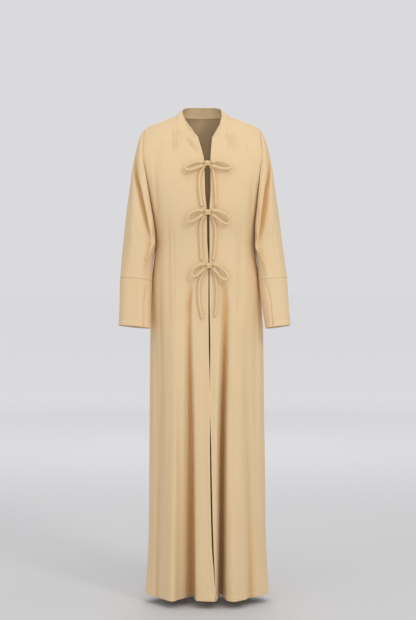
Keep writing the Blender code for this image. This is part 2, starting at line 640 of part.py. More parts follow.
def even_route(points, spacing):
    """Points at about even distances along a soft curve through the given ones."""
    fine = curve_through(points, [ROUTE_STEPS] * (len(points) - 1))
    length = sum((b - a).length for a, b in zip(fine, fine[1:]))
    count = max(3, round(length / spacing))
    route, walked, target = [fine[0]], 0.0, length / count
    for a, b in zip(fine, fine[1:]):
        step = (b - a).length
        while walked + step >= target * len(route) - 1e-9 and len(route) < count:
            route.append(mix(a, b, (target * len(route) - walked) / step))
        walked += step
    route.append(fine[-1])
    return route


def cord(name, points):
    """Rouleau cord as a bevelled curve with closed ends."""
    curve = bpy.data.curves.new(name, "CURVE")
    curve.dimensions = "3D"
    curve.bevel_depth = TIE_RADIUS
    curve.bevel_resolution = 2
    curve.use_fill_caps = True
    route = even_route([cord_point(*p) for p in points], CORD_SPACING)
    spline = curve.splines.new("POLY")
    spline.points.add(len(route) - 1)
    for target, place in zip(spline.points, route):
        target.co = (*place, 1.0)
    return link(bpy.data.objects.new(name, curve))


def knot(name, x, drop):
    """Pulled knot as one rounded solid that bridges the two front edges."""
    bm = bmesh.new()
    bmesh.ops.create_uvsphere(bm, u_segments=10, v_segments=6, radius=1.0)
    centre = Vector((x, front_surface(x, drop) - KNOT_CLEARANCE - KNOT_SIZE[1], -drop))
    for vert in bm.verts:
        vert.co = centre + Vector(a * b for a, b in zip(vert.co, KNOT_SIZE))
    return mesh_object(name, bm)


# ---------------------------------------------------------------- objects and finish
def link(obj):
    """Put an object in the scene and return it."""
    bpy.context.scene.collection.objects.link(obj)
    return obj


def mesh_object(name, bm):
    """Object from a bmesh, which is freed."""
    mesh = bpy.data.meshes.new(name)
    bm.to_mesh(mesh)
    bm.free()
    return link(bpy.data.objects.new(name, mesh))


def crepe(name):
    """Warm sand crepe, matt, as its own material for one piece."""
    material = bpy.data.materials.new(name + "_crepe")
    material.use_nodes = True
    shader = material.node_tree.nodes["Principled BSDF"]
    shader.inputs["Base Color"].default_value = (0.74, 0.56, 0.35, 1.0)
    shader.inputs["Roughness"].default_value = 0.85
    shader.inputs["Metallic"].default_value = 0.0
    return material


def clear_scene():
    """Remove all that the scene holds."""
    for obj in list(bpy.data.objects):
        bpy.data.objects.remove(obj, do_unlink=True)


def main():
    """Build every piece of the cloak."""
    clear_scene()
    cloth = build_surface()
    pieces = [mesh_object(name, cloth.solid(name)) for name in cloth.faces]
    for bow in BOWS:
        base = "tie_" + bow.name
        pieces.append(knot(base + "_knot", *bow.knot))
        for side, word in SIDE_NAMES.items():
            pieces.append(cord(f"{base}_loop_{word}", bow.loops[side]))
            pieces.append(cord(f"{base}_tail_{word}", bow.tails[side]))
    for piece in pieces:
        piece.data.materials.append(crepe(piece.name))


main()
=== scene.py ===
"""Looks of a full-length open-front abaya cloak with three rouleau ties.

Frame: metres, +Z up, the front of the cloak faces -Y, the origin lies between the shoulders at the
height where the shoulder line meets the neck. A drop is a distance below it: z = -drop.

Every cut piece is a thin shell on one worked-out form, with its creases laid on. The ties
are round cords at their real length that lie on the fronts.
"""

import logging
import math
from bisect import bisect_right
from dataclasses import dataclass, field
from enum import Enum
from typing import Any, Callable, NamedTuple, Sequence

import bmesh
import bpy
import numpy as np
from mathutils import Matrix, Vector, noise

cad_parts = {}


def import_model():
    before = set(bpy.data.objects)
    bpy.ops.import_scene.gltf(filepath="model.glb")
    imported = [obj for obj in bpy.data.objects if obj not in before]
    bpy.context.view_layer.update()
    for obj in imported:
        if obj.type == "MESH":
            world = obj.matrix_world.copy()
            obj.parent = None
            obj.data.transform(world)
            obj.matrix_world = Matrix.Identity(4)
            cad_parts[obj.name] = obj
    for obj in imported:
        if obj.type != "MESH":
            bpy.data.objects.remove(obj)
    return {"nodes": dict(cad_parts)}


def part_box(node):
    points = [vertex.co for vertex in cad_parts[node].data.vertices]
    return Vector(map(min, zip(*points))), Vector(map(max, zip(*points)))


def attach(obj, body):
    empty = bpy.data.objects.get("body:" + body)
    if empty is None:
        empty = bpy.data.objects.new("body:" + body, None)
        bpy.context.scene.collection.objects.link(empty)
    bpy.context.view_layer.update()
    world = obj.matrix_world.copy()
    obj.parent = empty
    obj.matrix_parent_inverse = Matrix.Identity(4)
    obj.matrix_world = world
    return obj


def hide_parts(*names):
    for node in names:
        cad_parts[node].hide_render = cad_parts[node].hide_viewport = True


log = logging.getLogger("abaya")

Mesh = bpy.types.Object
Triple = tuple[float, float, float]


class Side(Enum):
    """The wearer's side."""

    RIGHT = -1
    LEFT = 1

    @property
    def word(self) -> str:
        """Name of the side in node names."""
        return self.name.lower()


class Face(Enum):
    """Front or back of the body."""

    FRONT = "front"
    BACK = "back"


# ---------------------------------------------------------------- driving sizes of the cut
HEM_DROP = 1.460
UNDERARM_DROP = 0.385
CUFF_SEAM_DROP = 0.495
CUFF_HEM_DROP = 0.638
NECK_HALF = 0.080                # half width of the neck on the shoulder line
SHOULDER_SLOPE = 0.375           # drop of the shoulder line for each metre outwards
TIP_START_HALF = 0.140           # half width from which the shoulder rounds down to its tip
TIP_ROUNDING = 3.42              # how fast it rounds down there
SHOULDER_ROLL = 0.105            # distance below the shoulder line at which the cloth is at its full depth
ROLL_POWER = 2.2                 # shape of the roll down to there, 2 is round
FOLD_START_DROP = 0.45           # drop at which the skirt's folds start
UNDERARM_EASE = 0.050            # distance below the underarm over which the armhole closes to a seam
SEAM_RISE = 0.009                # how much higher a cuff seam is on its outer line than on its inner line
WALL_SHARES = (0.015, 0.07)      # start of a sleeve's front beside the body, in shares of its width
SHOULDER_SHARES = (0.06, 0.22)   # where that front is full, above and below the underarm
WALL_PULL = 0.45                 # how far the wall is drawn towards the seam
SHOULDER_PULL = 0.10             # the same, where the front is full
ROUND_START = 0.30               # share from which a sleeve rounds down to its outer line
BACK_SWELL = 0.62                # share of a sleeve's width where its back swells
BACK_FULL = 0.4                  # share of the way from the shoulder to that swell where it's full
BACK_RIM = 0.90                  # share of the width where the back comes near the outer line
FRONT_RIM = 0.60                 # share of the way from the front's swell to the outer line
CLOTH_THICKNESS = 0.0011
COLLAR_THICKNESS = 0.0024
HEM_TURN = 0.0165                # depth of the stitched turning at hem and cuffs
EDGE_TURN = 0.0095               # depth of the stitched turning along the front edges
EDGE_MEET = 0.0006               # how far each front edge swings in where the two just touch
MEET_START = (0.70, 0.82)        # drops over which the front edges come together
MEET_END = (0.91, 1.01)          # drops over which they part again
MEET_REACH = 0.030               # how far from the edge the swing reaches
TURN_HEIGHT = 0.0006             # rise of a turning, and how far its stitch line sinks
TURN_END = (0.0014, 0.0012)      # distances before and after the stitch line over which it ends
STITCH_HALF = 0.0011             # half width of the stitch line's groove
SIDE_CLEAR = 0.004               # distance from a side seam over which turnings fade
SIDE_SINK = 0.0007               # how far the side seam is drawn in below the underarm
SIDE_SINK_START = (0.42, 0.47)   # drops over which that starts
MERGE_DISTANCE = 0.00002         # points nearer to each other than this become one
SMOOTH_ANGLE = math.radians(50)  # faces that meet flatter than this are smooth
WAVE_STRETCH = 0.28              # slow waves are this much slower down the cloth than across
ROW_PITCH = 0.009                # distance between rows of cloth
TIE_RADIUS = 0.0046
TIE_CLEARANCE = 0.0012           # gap between a cord and the cloth under it


# ---------------------------------------------------------------- tables of the form
class BodyRow(NamedTuple):
    """Section of the body at a drop.

    Attributes:
        drop: where it lies.
        half: its half width.
        front: depth of the front, in its middle.
        back: depth of the back, in its middle.
        side_front: depth of the front at the side.
        side_back: depth of the back at the side.
        square: 2 for an ellipse, more for a squarer section.
        lean: sideways shift of its middle.
    """

    drop: float
    half: float
    front: float
    back: float
    side_front: float
    side_back: float
    square: float
    lean: float


BODY = (
    BodyRow(0.0395, 0.1745, 0.076, 0.086, 0.058, 0.058, 2.6, 0.0000),
    BodyRow(0.078, 0.1775, 0.082, 0.094, 0.060, 0.060, 2.6, 0.0000),
    BodyRow(0.117, 0.1790, 0.090, 0.102, 0.068, 0.066, 2.6, 0.0010),
    BodyRow(0.170, 0.1722, 0.104, 0.110, 0.072, 0.064, 2.5, 0.0020),
    BodyRow(0.216, 0.1667, 0.112, 0.114, 0.060, 0.054, 2.4, 0.0033),
    BodyRow(0.273, 0.1600, 0.116, 0.113, 0.042, 0.038, 2.3, 0.0054),
    BodyRow(0.331, 0.1528, 0.113, 0.108, 0.024, 0.018, 2.3, 0.0072),
    BodyRow(UNDERARM_DROP, 0.1500, 0.108, 0.104, 0.010, -0.010, 2.3, 0.0088),
    BodyRow(0.430, 0.1546, 0.106, 0.104, 0.006, -0.006, 2.3, 0.0088),
    BodyRow(0.500, 0.1640, 0.107, 0.107, 0.002, -0.002, 2.3, 0.0105),
    BodyRow(0.580, 0.1690, 0.111, 0.114, 0.000, 0.000, 2.2, 0.0122),
    BodyRow(0.651, 0.1722, 0.116, 0.121, 0.000, 0.000, 2.1, 0.0136),
    BodyRow(0.900, 0.1750, 0.121, 0.129, 0.000, 0.000, 2.0, 0.0140),
    BodyRow(1.100, 0.1778, 0.124, 0.135, 0.000, 0.000, 1.9, 0.0150),
    BodyRow(1.240, 0.1790, 0.126, 0.140, 0.000, 0.000, 1.8, 0.0150),
    BodyRow(1.340, 0.1825, 0.127, 0.143, 0.000, 0.000, 1.7, 0.0152),
    BodyRow(HEM_DROP, 0.1900, 0.128, 0.146, 0.000, 0.000, 1.6, 0.0147),
)


class OpeningRow(NamedTuple):
    """Middle of the front opening and half of its gap at a drop."""

    drop: float
    middle: float
    half_gap: float


OPENING = (
    OpeningRow(0.067, 0.0086, 0.0217),
    OpeningRow(0.100, 0.0120, 0.0150),
    OpeningRow(0.146, 0.0156, 0.0090),
    OpeningRow(0.228, 0.0168, 0.0084),
    OpeningRow(0.293, 0.0177, 0.0039),
    OpeningRow(0.376, 0.0186, 0.0036),
    OpeningRow(0.451, 0.0204, 0.0014),
    OpeningRow(0.555, 0.0204, 0.0018),
    OpeningRow(0.675, 0.0219, 0.0022),
    OpeningRow(0.855, 0.0234, 0.0006),
    OpeningRow(1.005, 0.0252, 0.0020),
    OpeningRow(1.156, 0.0276, 0.0024),
    OpeningRow(1.292, 0.0315, 0.0026),
    OpeningRow(1.407, 0.0384, 0.0012),
    OpeningRow(HEM_DROP, 0.0400, 0.0008),
)


class Neck(NamedTuple):
    """Point of the neckline: half width, drop and sideways shift."""

    half: float
    drop: float
    lean: float


NECKLINE = {
    Face.FRONT: (
        Neck(0.0217, 0.0675, 0.0086), Neck(0.0420, 0.0670, 0.0080), Neck(0.0560, 0.0635, 0.0066),
        Neck(0.0680, 0.0430, 0.0040), Neck(0.0765, 0.0160, 0.0010), Neck(0.0800, 0.0000, 0.0000),
    ),
    Face.BACK: (
        Neck(0.0000, 0.0040, 0.0000), Neck(0.0280, 0.0036, 0.0000), Neck(0.0500, 0.0028, 0.0000),
        Neck(0.0660, 0.0018, 0.0000), Neck(0.0755, 0.0008, 0.0000), Neck(0.0800, 0.0000, 0.0000),
    ),
}


class CollarTop(NamedTuple):
    """Point of the collar's upper edge above a point of the neckline: half width, y, drop and shift."""

    half: float
    depth: float
    drop: float
    lean: float


COLLAR_TOP = {
    Face.FRONT: (
        CollarTop(0.0421, -0.0740, 0.0406, 0.0068), CollarTop(0.0490, -0.0620, 0.0270, 0.0050),
        CollarTop(0.0537, -0.0480, 0.0144, 0.0028), CollarTop(0.0575, -0.0330, 0.0020, 0.0010),
        CollarTop(0.0592, -0.0170, -0.0110, -0.0012), CollarTop(0.0585, -0.0010, -0.0190, -0.0014),
    ),
    Face.BACK: (
        CollarTop(0.0000, 0.0520, -0.0290, 0.0000), CollarTop(0.0200, 0.0495, -0.0288, 0.0000),
        CollarTop(0.0370, 0.0410, -0.0280, -0.0004), CollarTop(0.0490, 0.0280, -0.0260, -0.0008),
        CollarTop(0.0560, 0.0130, -0.0226, -0.0012), CollarTop(0.0585, -0.0010, -0.0190, -0.0014),
    ),
}


class Course(NamedTuple):
    """One row of cloth: its drop on the side, on the middle of the front and of the back."""

    side: float
    front: float
    back: float


COURSES = (
    *(Course(drop, drop, drop) for drop in (HEM_DROP, 1.400, 1.300, 1.160, 1.010, 0.860, 0.740, 0.640,
                                            0.550, 0.480, 0.430, UNDERARM_DROP)),
    Course(0.335, 0.325, 0.325),
    Course(0.280, 0.258, 0.255), Course(0.228, 0.188, 0.180), Course(0.178, 0.125, 0.095),
    Course(0.134, 0.0675, 0.004),
)
NECK_COURSES = (0.105, 0.083, 0.066, 0.051, 0.0395)
HEM_MARKS = (0.0, 0.0012, 0.006, 0.0145, 0.0158, HEM_TURN, 0.0172, 0.0190, 0.026, 0.034, 0.043, 0.052)
NECK_STEPS = 5
NECK_ROWS = len(NECK_COURSES) * NECK_STEPS + 1


class Fold(NamedTuple):
    """Vertical fold of the skirt: x and inset behind the smooth form at hip, middle and hem.

    An inset below 0 stands out in front of the form.
    """

    name: str
    x_hip: float
    x_mid: float
    x_hem: float
    in_hip: float
    in_mid: float
    in_hem: float


FOLD_DROPS = (0.645, 1.050, HEM_DROP)
FOLDS = {
    (Face.FRONT, Side.RIGHT): (
        Fold("strip", -0.0288, -0.0203, -0.0177, 0.001, 0.004, 0.008),
        Fold("valley", -0.0380, -0.0300, -0.0275, 0.017, 0.050, 0.085),
        Fold("flank", -0.0540, -0.0560, -0.0560, 0.003, 0.014, 0.032),
        Fold("crest", -0.0860, -0.0880, -0.0937, -0.004, -0.015, -0.032),
        Fold("hollow", -0.1310, -0.1320, -0.1350, 0.003, 0.004, 0.002),
    ),
    (Face.FRONT, Side.LEFT): (
        Fold("lip", 0.0532, 0.0425, 0.0423, 0.001, 0.003, 0.004),
        Fold("valley", 0.0670, 0.0600, 0.0564, 0.022, 0.065, 0.103),
        Fold("jamb", 0.0820, 0.0740, 0.0738, 0.002, 0.003, 0.002),
        Fold("crest", 0.0970, 0.0970, 0.0985, -0.004, -0.010, -0.022),
        Fold("hollow", 0.1500, 0.1520, 0.1560, 0.004, 0.006, 0.010),
    ),
    (Face.BACK, Side.RIGHT): (
        Fold("valley", -0.0420, -0.0440, -0.0480, 0.010, 0.028, 0.046),
        Fold("crest", -0.0800, -0.0840, -0.0900, -0.003, -0.010, -0.016),
        Fold("hollow", -0.1220, -0.1260, -0.1320, 0.006, 0.014, 0.022),
    ),
    (Face.BACK, Side.LEFT): (
        Fold("valley", 0.0560, 0.0600, 0.0680, 0.012, 0.034, 0.056),
        Fold("crest", 0.0980, 0.1020, 0.1080, -0.003, -0.008, -0.012),
        Fold("hollow", 0.1400, 0.1440, 0.1500, 0.004, 0.010, 0.016),
    ),
}
FORM_STEPS = {Face.FRONT: (2, 2, 2, 2, 2, 3), Face.BACK: (3, 3, 3, 4)}
FINE_STEPS = {Face.FRONT: (10, 9, 9, 12, 12, 17), Face.BACK: (16, 13, 13, 18)}
EVEN_DROPS = (0.134, 0.385)


class SleeveRow(NamedTuple):
    """Ring of the sleeve or cuff at a drop.

    Attributes:
        drop: of the ring's middle.
        outer: half width out to its outer line.
        outer_lean: sideways shift of that line.
        inner: half width out to its inner line.
        inner_lean: sideways shift of that line.
        front: y of its front.
        back: y of its back.
        dip_at: share of its width at which the front dips.
        dip: how far it dips there.
        round: from 0 where it follows the armhole to 1 for a tube of its own.
        tilt: how steeply the ring falls from its front to its back.
    """

    drop: float
    outer: float
    outer_lean: float
    inner: float
    inner_lean: float
    front: float
    back: float
    dip_at: float
    dip: float
    round: float
    tilt: float


SLEEVE = (
    SleeveRow(0.0395, 0.1745, 0.0000, 0.1745, 0.0000, 0.000, 0.000, 0.70, 0.000, 0.0, 0.00),
    SleeveRow(0.051, 0.1825, 0.0000, 0.1752, 0.0000, -0.033, 0.033, 0.70, 0.000, 0.0, 0.00),
    SleeveRow(0.066, 0.1895, 0.0000, 0.1764, 0.0000, -0.045, 0.046, 0.75, 0.000, 0.0, 0.00),
    SleeveRow(0.083, 0.1955, 0.0000, 0.1778, 0.0003, -0.054, 0.056, 0.80, 0.002, 0.0, 0.00),
    SleeveRow(0.105, 0.2012, 0.0000, 0.1788, 0.0008, -0.064, 0.065, 0.85, 0.003, 0.0, 0.00),
    SleeveRow(0.134, 0.2076, 0.0000, 0.1773, 0.0013, -0.073, 0.072, 0.85, 0.005, 0.0, 0.00),
    SleeveRow(0.178, 0.2156, 0.0000, 0.1712, 0.0022, -0.081, 0.078, 0.72, 0.009, 0.0, 0.00),
    SleeveRow(0.228, 0.2224, 0.0000, 0.1643, 0.0037, -0.087, 0.080, 0.52, 0.012, 0.0, 0.00),
    SleeveRow(0.280, 0.2296, 0.0004, 0.1575, 0.0056, -0.089, 0.076, 0.40, 0.013, 0.0, 0.00),
    SleeveRow(0.335, 0.2360, 0.0010, 0.1505, 0.0074, -0.088, 0.067, 0.30, 0.012, 0.0, 0.00),
    SleeveRow(UNDERARM_DROP, 0.2412, 0.0016, 0.1480, 0.0088, -0.085, 0.056, 0.24, 0.010, 0.1, 0.00),
    SleeveRow(0.430, 0.2462, 0.0022, 0.1555, 0.0086, -0.085, 0.034, 0.22, 0.006, 0.6, 0.06),
    SleeveRow(0.465, 0.2495, 0.0034, 0.1594, 0.0092, -0.086, 0.015, 0.32, 0.002, 0.9, 0.08),
    SleeveRow(CUFF_SEAM_DROP, 0.2525, 0.0040, 0.1613, 0.0098, -0.087, 0.002, 0.46, 0.000, 1.0, 0.10),
    SleeveRow(0.566, 0.2548, 0.0052, 0.1668, 0.0122, -0.095, -0.015, 0.46, 0.000, 1.0, 0.11),
    SleeveRow(CUFF_HEM_DROP, 0.2587, 0.0066, 0.1732, 0.0177, -0.104, -0.028, 0.46, 0.000, 1.0, 0.12),
)
RING_STEPS = 8


# ---------------------------------------------------------------- creases laid on
CREASE_END = 0.3  # share of a crease's length over which it starts or runs out


@dataclass(frozen=True)
class Crease:
    """Soft trough along a path on a piece, or a ridge where its depth is negative.

    Attributes:
        path: points as across and drop.
        width: half width of the trough.
        depth: how deep it goes in.
        skew: from -1 to 1, how much steeper one side is than the other.
        runs_out: whether it keeps its depth at its last point, as at a hem.
    """

    path: tuple[tuple[float, float], ...]
    width: float
    depth: float
    skew: float = 0.0
    runs_out: bool = False

    def depth_at(self, across: np.ndarray, drop: np.ndarray) -> np.ndarray:
        """Depth of the crease over a grid of places.

        Args:
            across: places across the piece.
            drop: drops of the same places.

        Returns:
            The depth at each place.
        """
        points = np.array(self.path)
        lengths = np.linalg.norm(np.diff(points, axis=0), axis=1)
        ends = np.concatenate([[0.0], np.cumsum(lengths)])
        nearest = np.full(across.shape, np.inf)
        along = np.zeros(across.shape)
        turn = np.ones(across.shape)
        for i, (start, end) in enumerate(zip(points, points[1:])):
            way = end - start
            share = ((across - start[0]) * way[0] + (drop - start[1]) * way[1]) / (lengths[i] ** 2)
            share = np.clip(share, 0.0, 1.0)
            off_x = across - (start[0] + share * way[0])
            off_y = drop - (start[1] + share * way[1])
            distance = np.hypot(off_x, off_y)
            closer = distance < nearest
            nearest = np.where(closer, distance, nearest)
            along = np.where(closer, ends[i] + share * lengths[i], along)
            turn = np.where(closer, np.sign(way[0] * off_y - way[1] * off_x), turn)
        reach = along / ends[-1]
        fade = np.clip(reach / CREASE_END, 0.0, 1.0)
        if not self.runs_out:
            fade = np.minimum(fade, np.clip((1.0 - reach) / CREASE_END, 0.0, 1.0))
        fade = fade * fade * (3.0 - 2.0 * fade)
        width = self.width * (1.0 + self.skew * turn)
        return self.depth * fade * np.exp(-((nearest / width) ** 2))


BODY_CREASES = {
    (Face.FRONT, Side.RIGHT): (
        Crease(((-0.053, 0.066), (-0.03, 0.093), (-0.01, 0.116)), 0.005, 0.0048, 0.3),
        Crease(((-0.092, 0.036), (-0.088, 0.08), (-0.086, 0.128)), 0.0055, 0.0052, -0.3),
        Crease(((-0.079, 0.034), (-0.076, 0.072), (-0.074, 0.112)), 0.0045, 0.004, 0.2),
        Crease(((-0.068, 0.036), (-0.067, 0.064), (-0.066, 0.094)), 0.004, 0.0028),
        Crease(((-0.118, 0.06), (-0.126, 0.12), (-0.134, 0.19)), 0.008, 0.003, 0.3),
        Crease(((-0.14, 0.07), (-0.143, 0.15), (-0.14, 0.25), (-0.132, 0.34)), 0.007, 0.0036, -0.3),
        Crease(((-0.02, 0.165), (-0.06, 0.19), (-0.105, 0.235)), 0.009, 0.0022, 0.2),
        Crease(((-0.014, 0.315), (-0.05, 0.35), (-0.088, 0.41)), 0.009, 0.0022, -0.2),
        Crease(((-0.006, 0.475), (-0.034, 0.53), (-0.044, 0.62)), 0.007, 0.003, 0.3),
        Crease(((-0.1, 0.25), (-0.101, 0.42), (-0.098, 0.69)), 0.007, 0.0028, 0.3),
        Crease(((-0.088, 0.3), (-0.0885, 0.45), (-0.087, 0.62)), 0.005, 0.0016, -0.2),
        Crease(((-0.128, 0.4), (-0.127, 0.6), (-0.121, 0.9), (-0.116, 1.2)), 0.007, 0.0036, 0.4),
        Crease(((-0.145, 0.56), (-0.142, 0.8), (-0.139, 1.15), (-0.143, 1.46)), 0.006, 0.0034, -0.4, True),
        Crease(((-0.156, 0.62), (-0.154, 0.9), (-0.155, 1.2), (-0.161, 1.46)), 0.0035, 0.0024, 0.3, True),
        Crease(((-0.108, 0.76), (-0.111, 1.0), (-0.118, 1.26), (-0.125, 1.46)), 0.006, -0.0024, 0.3, True),
        Crease(((-0.072, 0.62), (-0.07, 0.86), (-0.073, 1.12)), 0.007, 0.0026, -0.3),
        Crease(((-0.064, 0.9), (-0.066, 1.15), (-0.069, 1.46)), 0.008, 0.003, 0.3, True),
        Crease(((-0.002, 0.64), (0.004, 0.9), (0.008, 1.2), (0.01, 1.46)), 0.008, 0.0014, 0.2, True),
    ),
    (Face.FRONT, Side.LEFT): (
        Crease(((0.074, 0.044), (0.078, 0.08), (0.08, 0.122)), 0.0045, 0.0046, 0.3),
        Crease(((0.087, 0.044), (0.092, 0.082), (0.095, 0.128)), 0.005, 0.0052, -0.3),
        Crease(((0.1, 0.05), (0.106, 0.084), (0.11, 0.118)), 0.0045, 0.0032, 0.2),
        Crease(((0.128, 0.07), (0.137, 0.13), (0.143, 0.2)), 0.008, 0.003, -0.3),
        Crease(((0.151, 0.08), (0.153, 0.17), (0.15, 0.27), (0.144, 0.35)), 0.007, 0.0034, 0.3),
        Crease(((0.052, 0.16), (0.088, 0.185), (0.122, 0.232)), 0.009, 0.0022, -0.2),
        Crease(((0.048, 0.31), (0.086, 0.348), (0.118, 0.41)), 0.009, 0.0024, 0.2),
        Crease(((0.044, 0.48), (0.068, 0.53), (0.074, 0.63)), 0.007, 0.0028, -0.3),
        Crease(((0.109, 0.25), (0.11, 0.42), (0.108, 0.68)), 0.006, 0.0026, -0.3),
        Crease(((0.12, 0.26), (0.121, 0.45), (0.119, 0.64)), 0.0055, 0.002, 0.2),
        Crease(((0.114, 0.69), (0.117, 0.9), (0.124, 1.26), (0.129, 1.46)), 0.0055, -0.003, 0.4, True),
        Crease(((0.128, 0.56), (0.131, 0.85), (0.138, 1.2), (0.142, 1.46)), 0.007, 0.0034, -0.4, True),
        Crease(((0.176, 0.6), (0.175, 0.9), (0.177, 1.2), (0.183, 1.46)), 0.0045, -0.0022, 0.2, True),
        Crease(((0.166, 0.52), (0.163, 0.76), (0.165, 1.06)), 0.006, 0.0028, 0.3),
        Crease(((0.092, 0.76), (0.088, 1.02), (0.086, 1.25)), 0.006, 0.0018, -0.2),
        Crease(((0.034, 0.64), (0.035, 0.9), (0.037, 1.15)), 0.006, 0.0012, 0.2),
    ),
    (Face.BACK, Side.RIGHT): (
        Crease(((-0.04, 0.05), (-0.052, 0.11), (-0.07, 0.19)), 0.009, 0.003, 0.3),
        Crease(((-0.11, 0.08), (-0.118, 0.17), (-0.122, 0.29)), 0.01, 0.0042, -0.3),
        Crease(((-0.146, 0.11), (-0.146, 0.22), (-0.136, 0.35)), 0.007, 0.0034, 0.3),
        Crease(((-0.02, 0.28), (-0.06, 0.33), (-0.112, 0.37)), 0.011, 0.0034, 0.2),
        Crease(((-0.016, 0.4), (-0.05, 0.44), (-0.1, 0.46)), 0.01, 0.003, -0.2),
        Crease(((-0.026, 0.5), (-0.03, 0.76), (-0.028, 1.1), (-0.022, 1.46)), 0.008, 0.0038, 0.3, True),
        Crease(((-0.066, 0.56), (-0.07, 0.86), (-0.074, 1.2), (-0.078, 1.46)), 0.007, 0.0032, -0.3, True),
        Crease(((-0.104, 0.52), (-0.106, 0.8), (-0.11, 1.15)), 0.008, 0.0038, 0.3),
        Crease(((-0.148, 0.56), (-0.15, 0.9), (-0.154, 1.46)), 0.006, 0.003, -0.2, True),
    ),
    (Face.BACK, Side.LEFT): (
        Crease(((0.034, 0.06), (0.05, 0.12), (0.072, 0.18)), 0.009, 0.0028, -0.3),
        Crease(((0.106, 0.07), (0.12, 0.18), (0.128, 0.3)), 0.01, 0.0044, 0.3),
        Crease(((0.15, 0.12), (0.151, 0.23), (0.145, 0.35)), 0.007, 0.0032, -0.3),
        Crease(((0.03, 0.3), (0.074, 0.34), (0.122, 0.372)), 0.011, 0.0032, -0.2),
        Crease(((0.034, 0.42), (0.072, 0.452), (0.118, 0.468)), 0.01, 0.0028, 0.2),
        Crease(((0.03, 0.52), (0.036, 0.82), (0.034, 1.15), (0.03, 1.46)), 0.008, 0.0036, -0.3, True),
        Crease(((0.084, 0.56), (0.088, 0.9), (0.092, 1.2), (0.096, 1.46)), 0.007, 0.0034, 0.3, True),
        Crease(((0.124, 0.54), (0.128, 0.82), (0.132, 1.18)), 0.008, 0.0036, -0.3),
        Crease(((0.164, 0.6), (0.166, 1.0), (0.172, 1.46)), 0.006, 0.0028, 0.2, True),
    ),
}
# Across a sleeve runs from its front seam, 0, by the outer line, about 0.5, to its back seam, 1,
# and is stretched to metres by the ring's mean length.
SLEEVE_GIRTH = 0.42
SLEEVE_CREASES = {
    Side.RIGHT: (
        Crease(((0.128, 0.09), (0.124, 0.22), (0.12, 0.33), (0.084, 0.47)), 0.0085, 0.0115, 0.2),
        Crease(((0.205, 0.06), (0.19, 0.13), (0.175, 0.22)), 0.008, 0.0036, 0.3),
        Crease(((0.15, 0.11), (0.12, 0.2), (0.1, 0.33)), 0.009, 0.0042, -0.3),
        Crease(((0.06, 0.25), (0.085, 0.32), (0.12, 0.41)), 0.008, 0.0034, 0.3),
        Crease(((0.03, 0.33), (0.08, 0.372), (0.15, 0.398)), 0.007, 0.003, 0.2),
        Crease(((0.028, 0.39), (0.085, 0.425), (0.165, 0.44)), 0.006, 0.0024, -0.2),
        Crease(((0.17, 0.28), (0.16, 0.38), (0.166, 0.47)), 0.0075, 0.0028, 0.3),
        Crease(((0.4, 0.32), (0.34, 0.366), (0.26, 0.382)), 0.009, 0.0044, 0.2),
        Crease(((0.4, 0.37), (0.34, 0.412), (0.262, 0.43)), 0.008, 0.0036, -0.2),
        Crease(((0.3, 0.1), (0.31, 0.21), (0.3, 0.33)), 0.01, 0.004, 0.3),
    ),
    Side.LEFT: (
        Crease(((0.128, 0.09), (0.124, 0.22), (0.122, 0.33), (0.086, 0.47)), 0.0085, 0.012, -0.2),
        Crease(((0.2, 0.062), (0.186, 0.14), (0.178, 0.23)), 0.008, 0.0034, -0.3),
        Crease(((0.146, 0.12), (0.124, 0.21), (0.104, 0.34)), 0.009, 0.004, 0.3),
        Crease(((0.056, 0.27), (0.08, 0.33), (0.112, 0.42)), 0.008, 0.0034, -0.3),
        Crease(((0.028, 0.345), (0.076, 0.384), (0.14, 0.412)), 0.007, 0.003, 0.2),
        Crease(((0.174, 0.3), (0.166, 0.39), (0.172, 0.476)), 0.0075, 0.0026, -0.3),
        Crease(((0.4, 0.33), (0.345, 0.372), (0.264, 0.39)), 0.009, 0.0042, -0.2),
        Crease(((0.4, 0.384), (0.336, 0.42), (0.262, 0.444)), 0.008, 0.0034, 0.2),
        Crease(((0.306, 0.11), (0.316, 0.22), (0.304, 0.32)), 0.01, 0.0038, -0.3),
    ),
}
CUFF_CREASES = {
    Side.RIGHT: (
        Crease(((0.04, 0.5), (0.062, 0.565), (0.054, 0.638)), 0.011, 0.0036, 0.3, True),
        Crease(((0.33, 0.505), (0.344, 0.57), (0.334, 0.638)), 0.011, 0.0032, -0.3, True),
    ),
    Side.LEFT: (
        Crease(((0.052, 0.5), (0.086, 0.56), (0.07, 0.638)), 0.012, 0.0042, -0.3, True),
        Crease(((0.322, 0.505), (0.338, 0.57), (0.326, 0.638)), 0.011, 0.003, 0.3, True),
    ),
}


# ---------------------------------------------------------------- routes of the ties
class Bow(NamedTuple):
    """Bow of one tie: the routes of its loops and tails as x, drop and lift off the front."""

    name: str
    loops: dict[Side, tuple[Triple, ...]]
    tails: dict[Side, tuple[Triple, ...]]


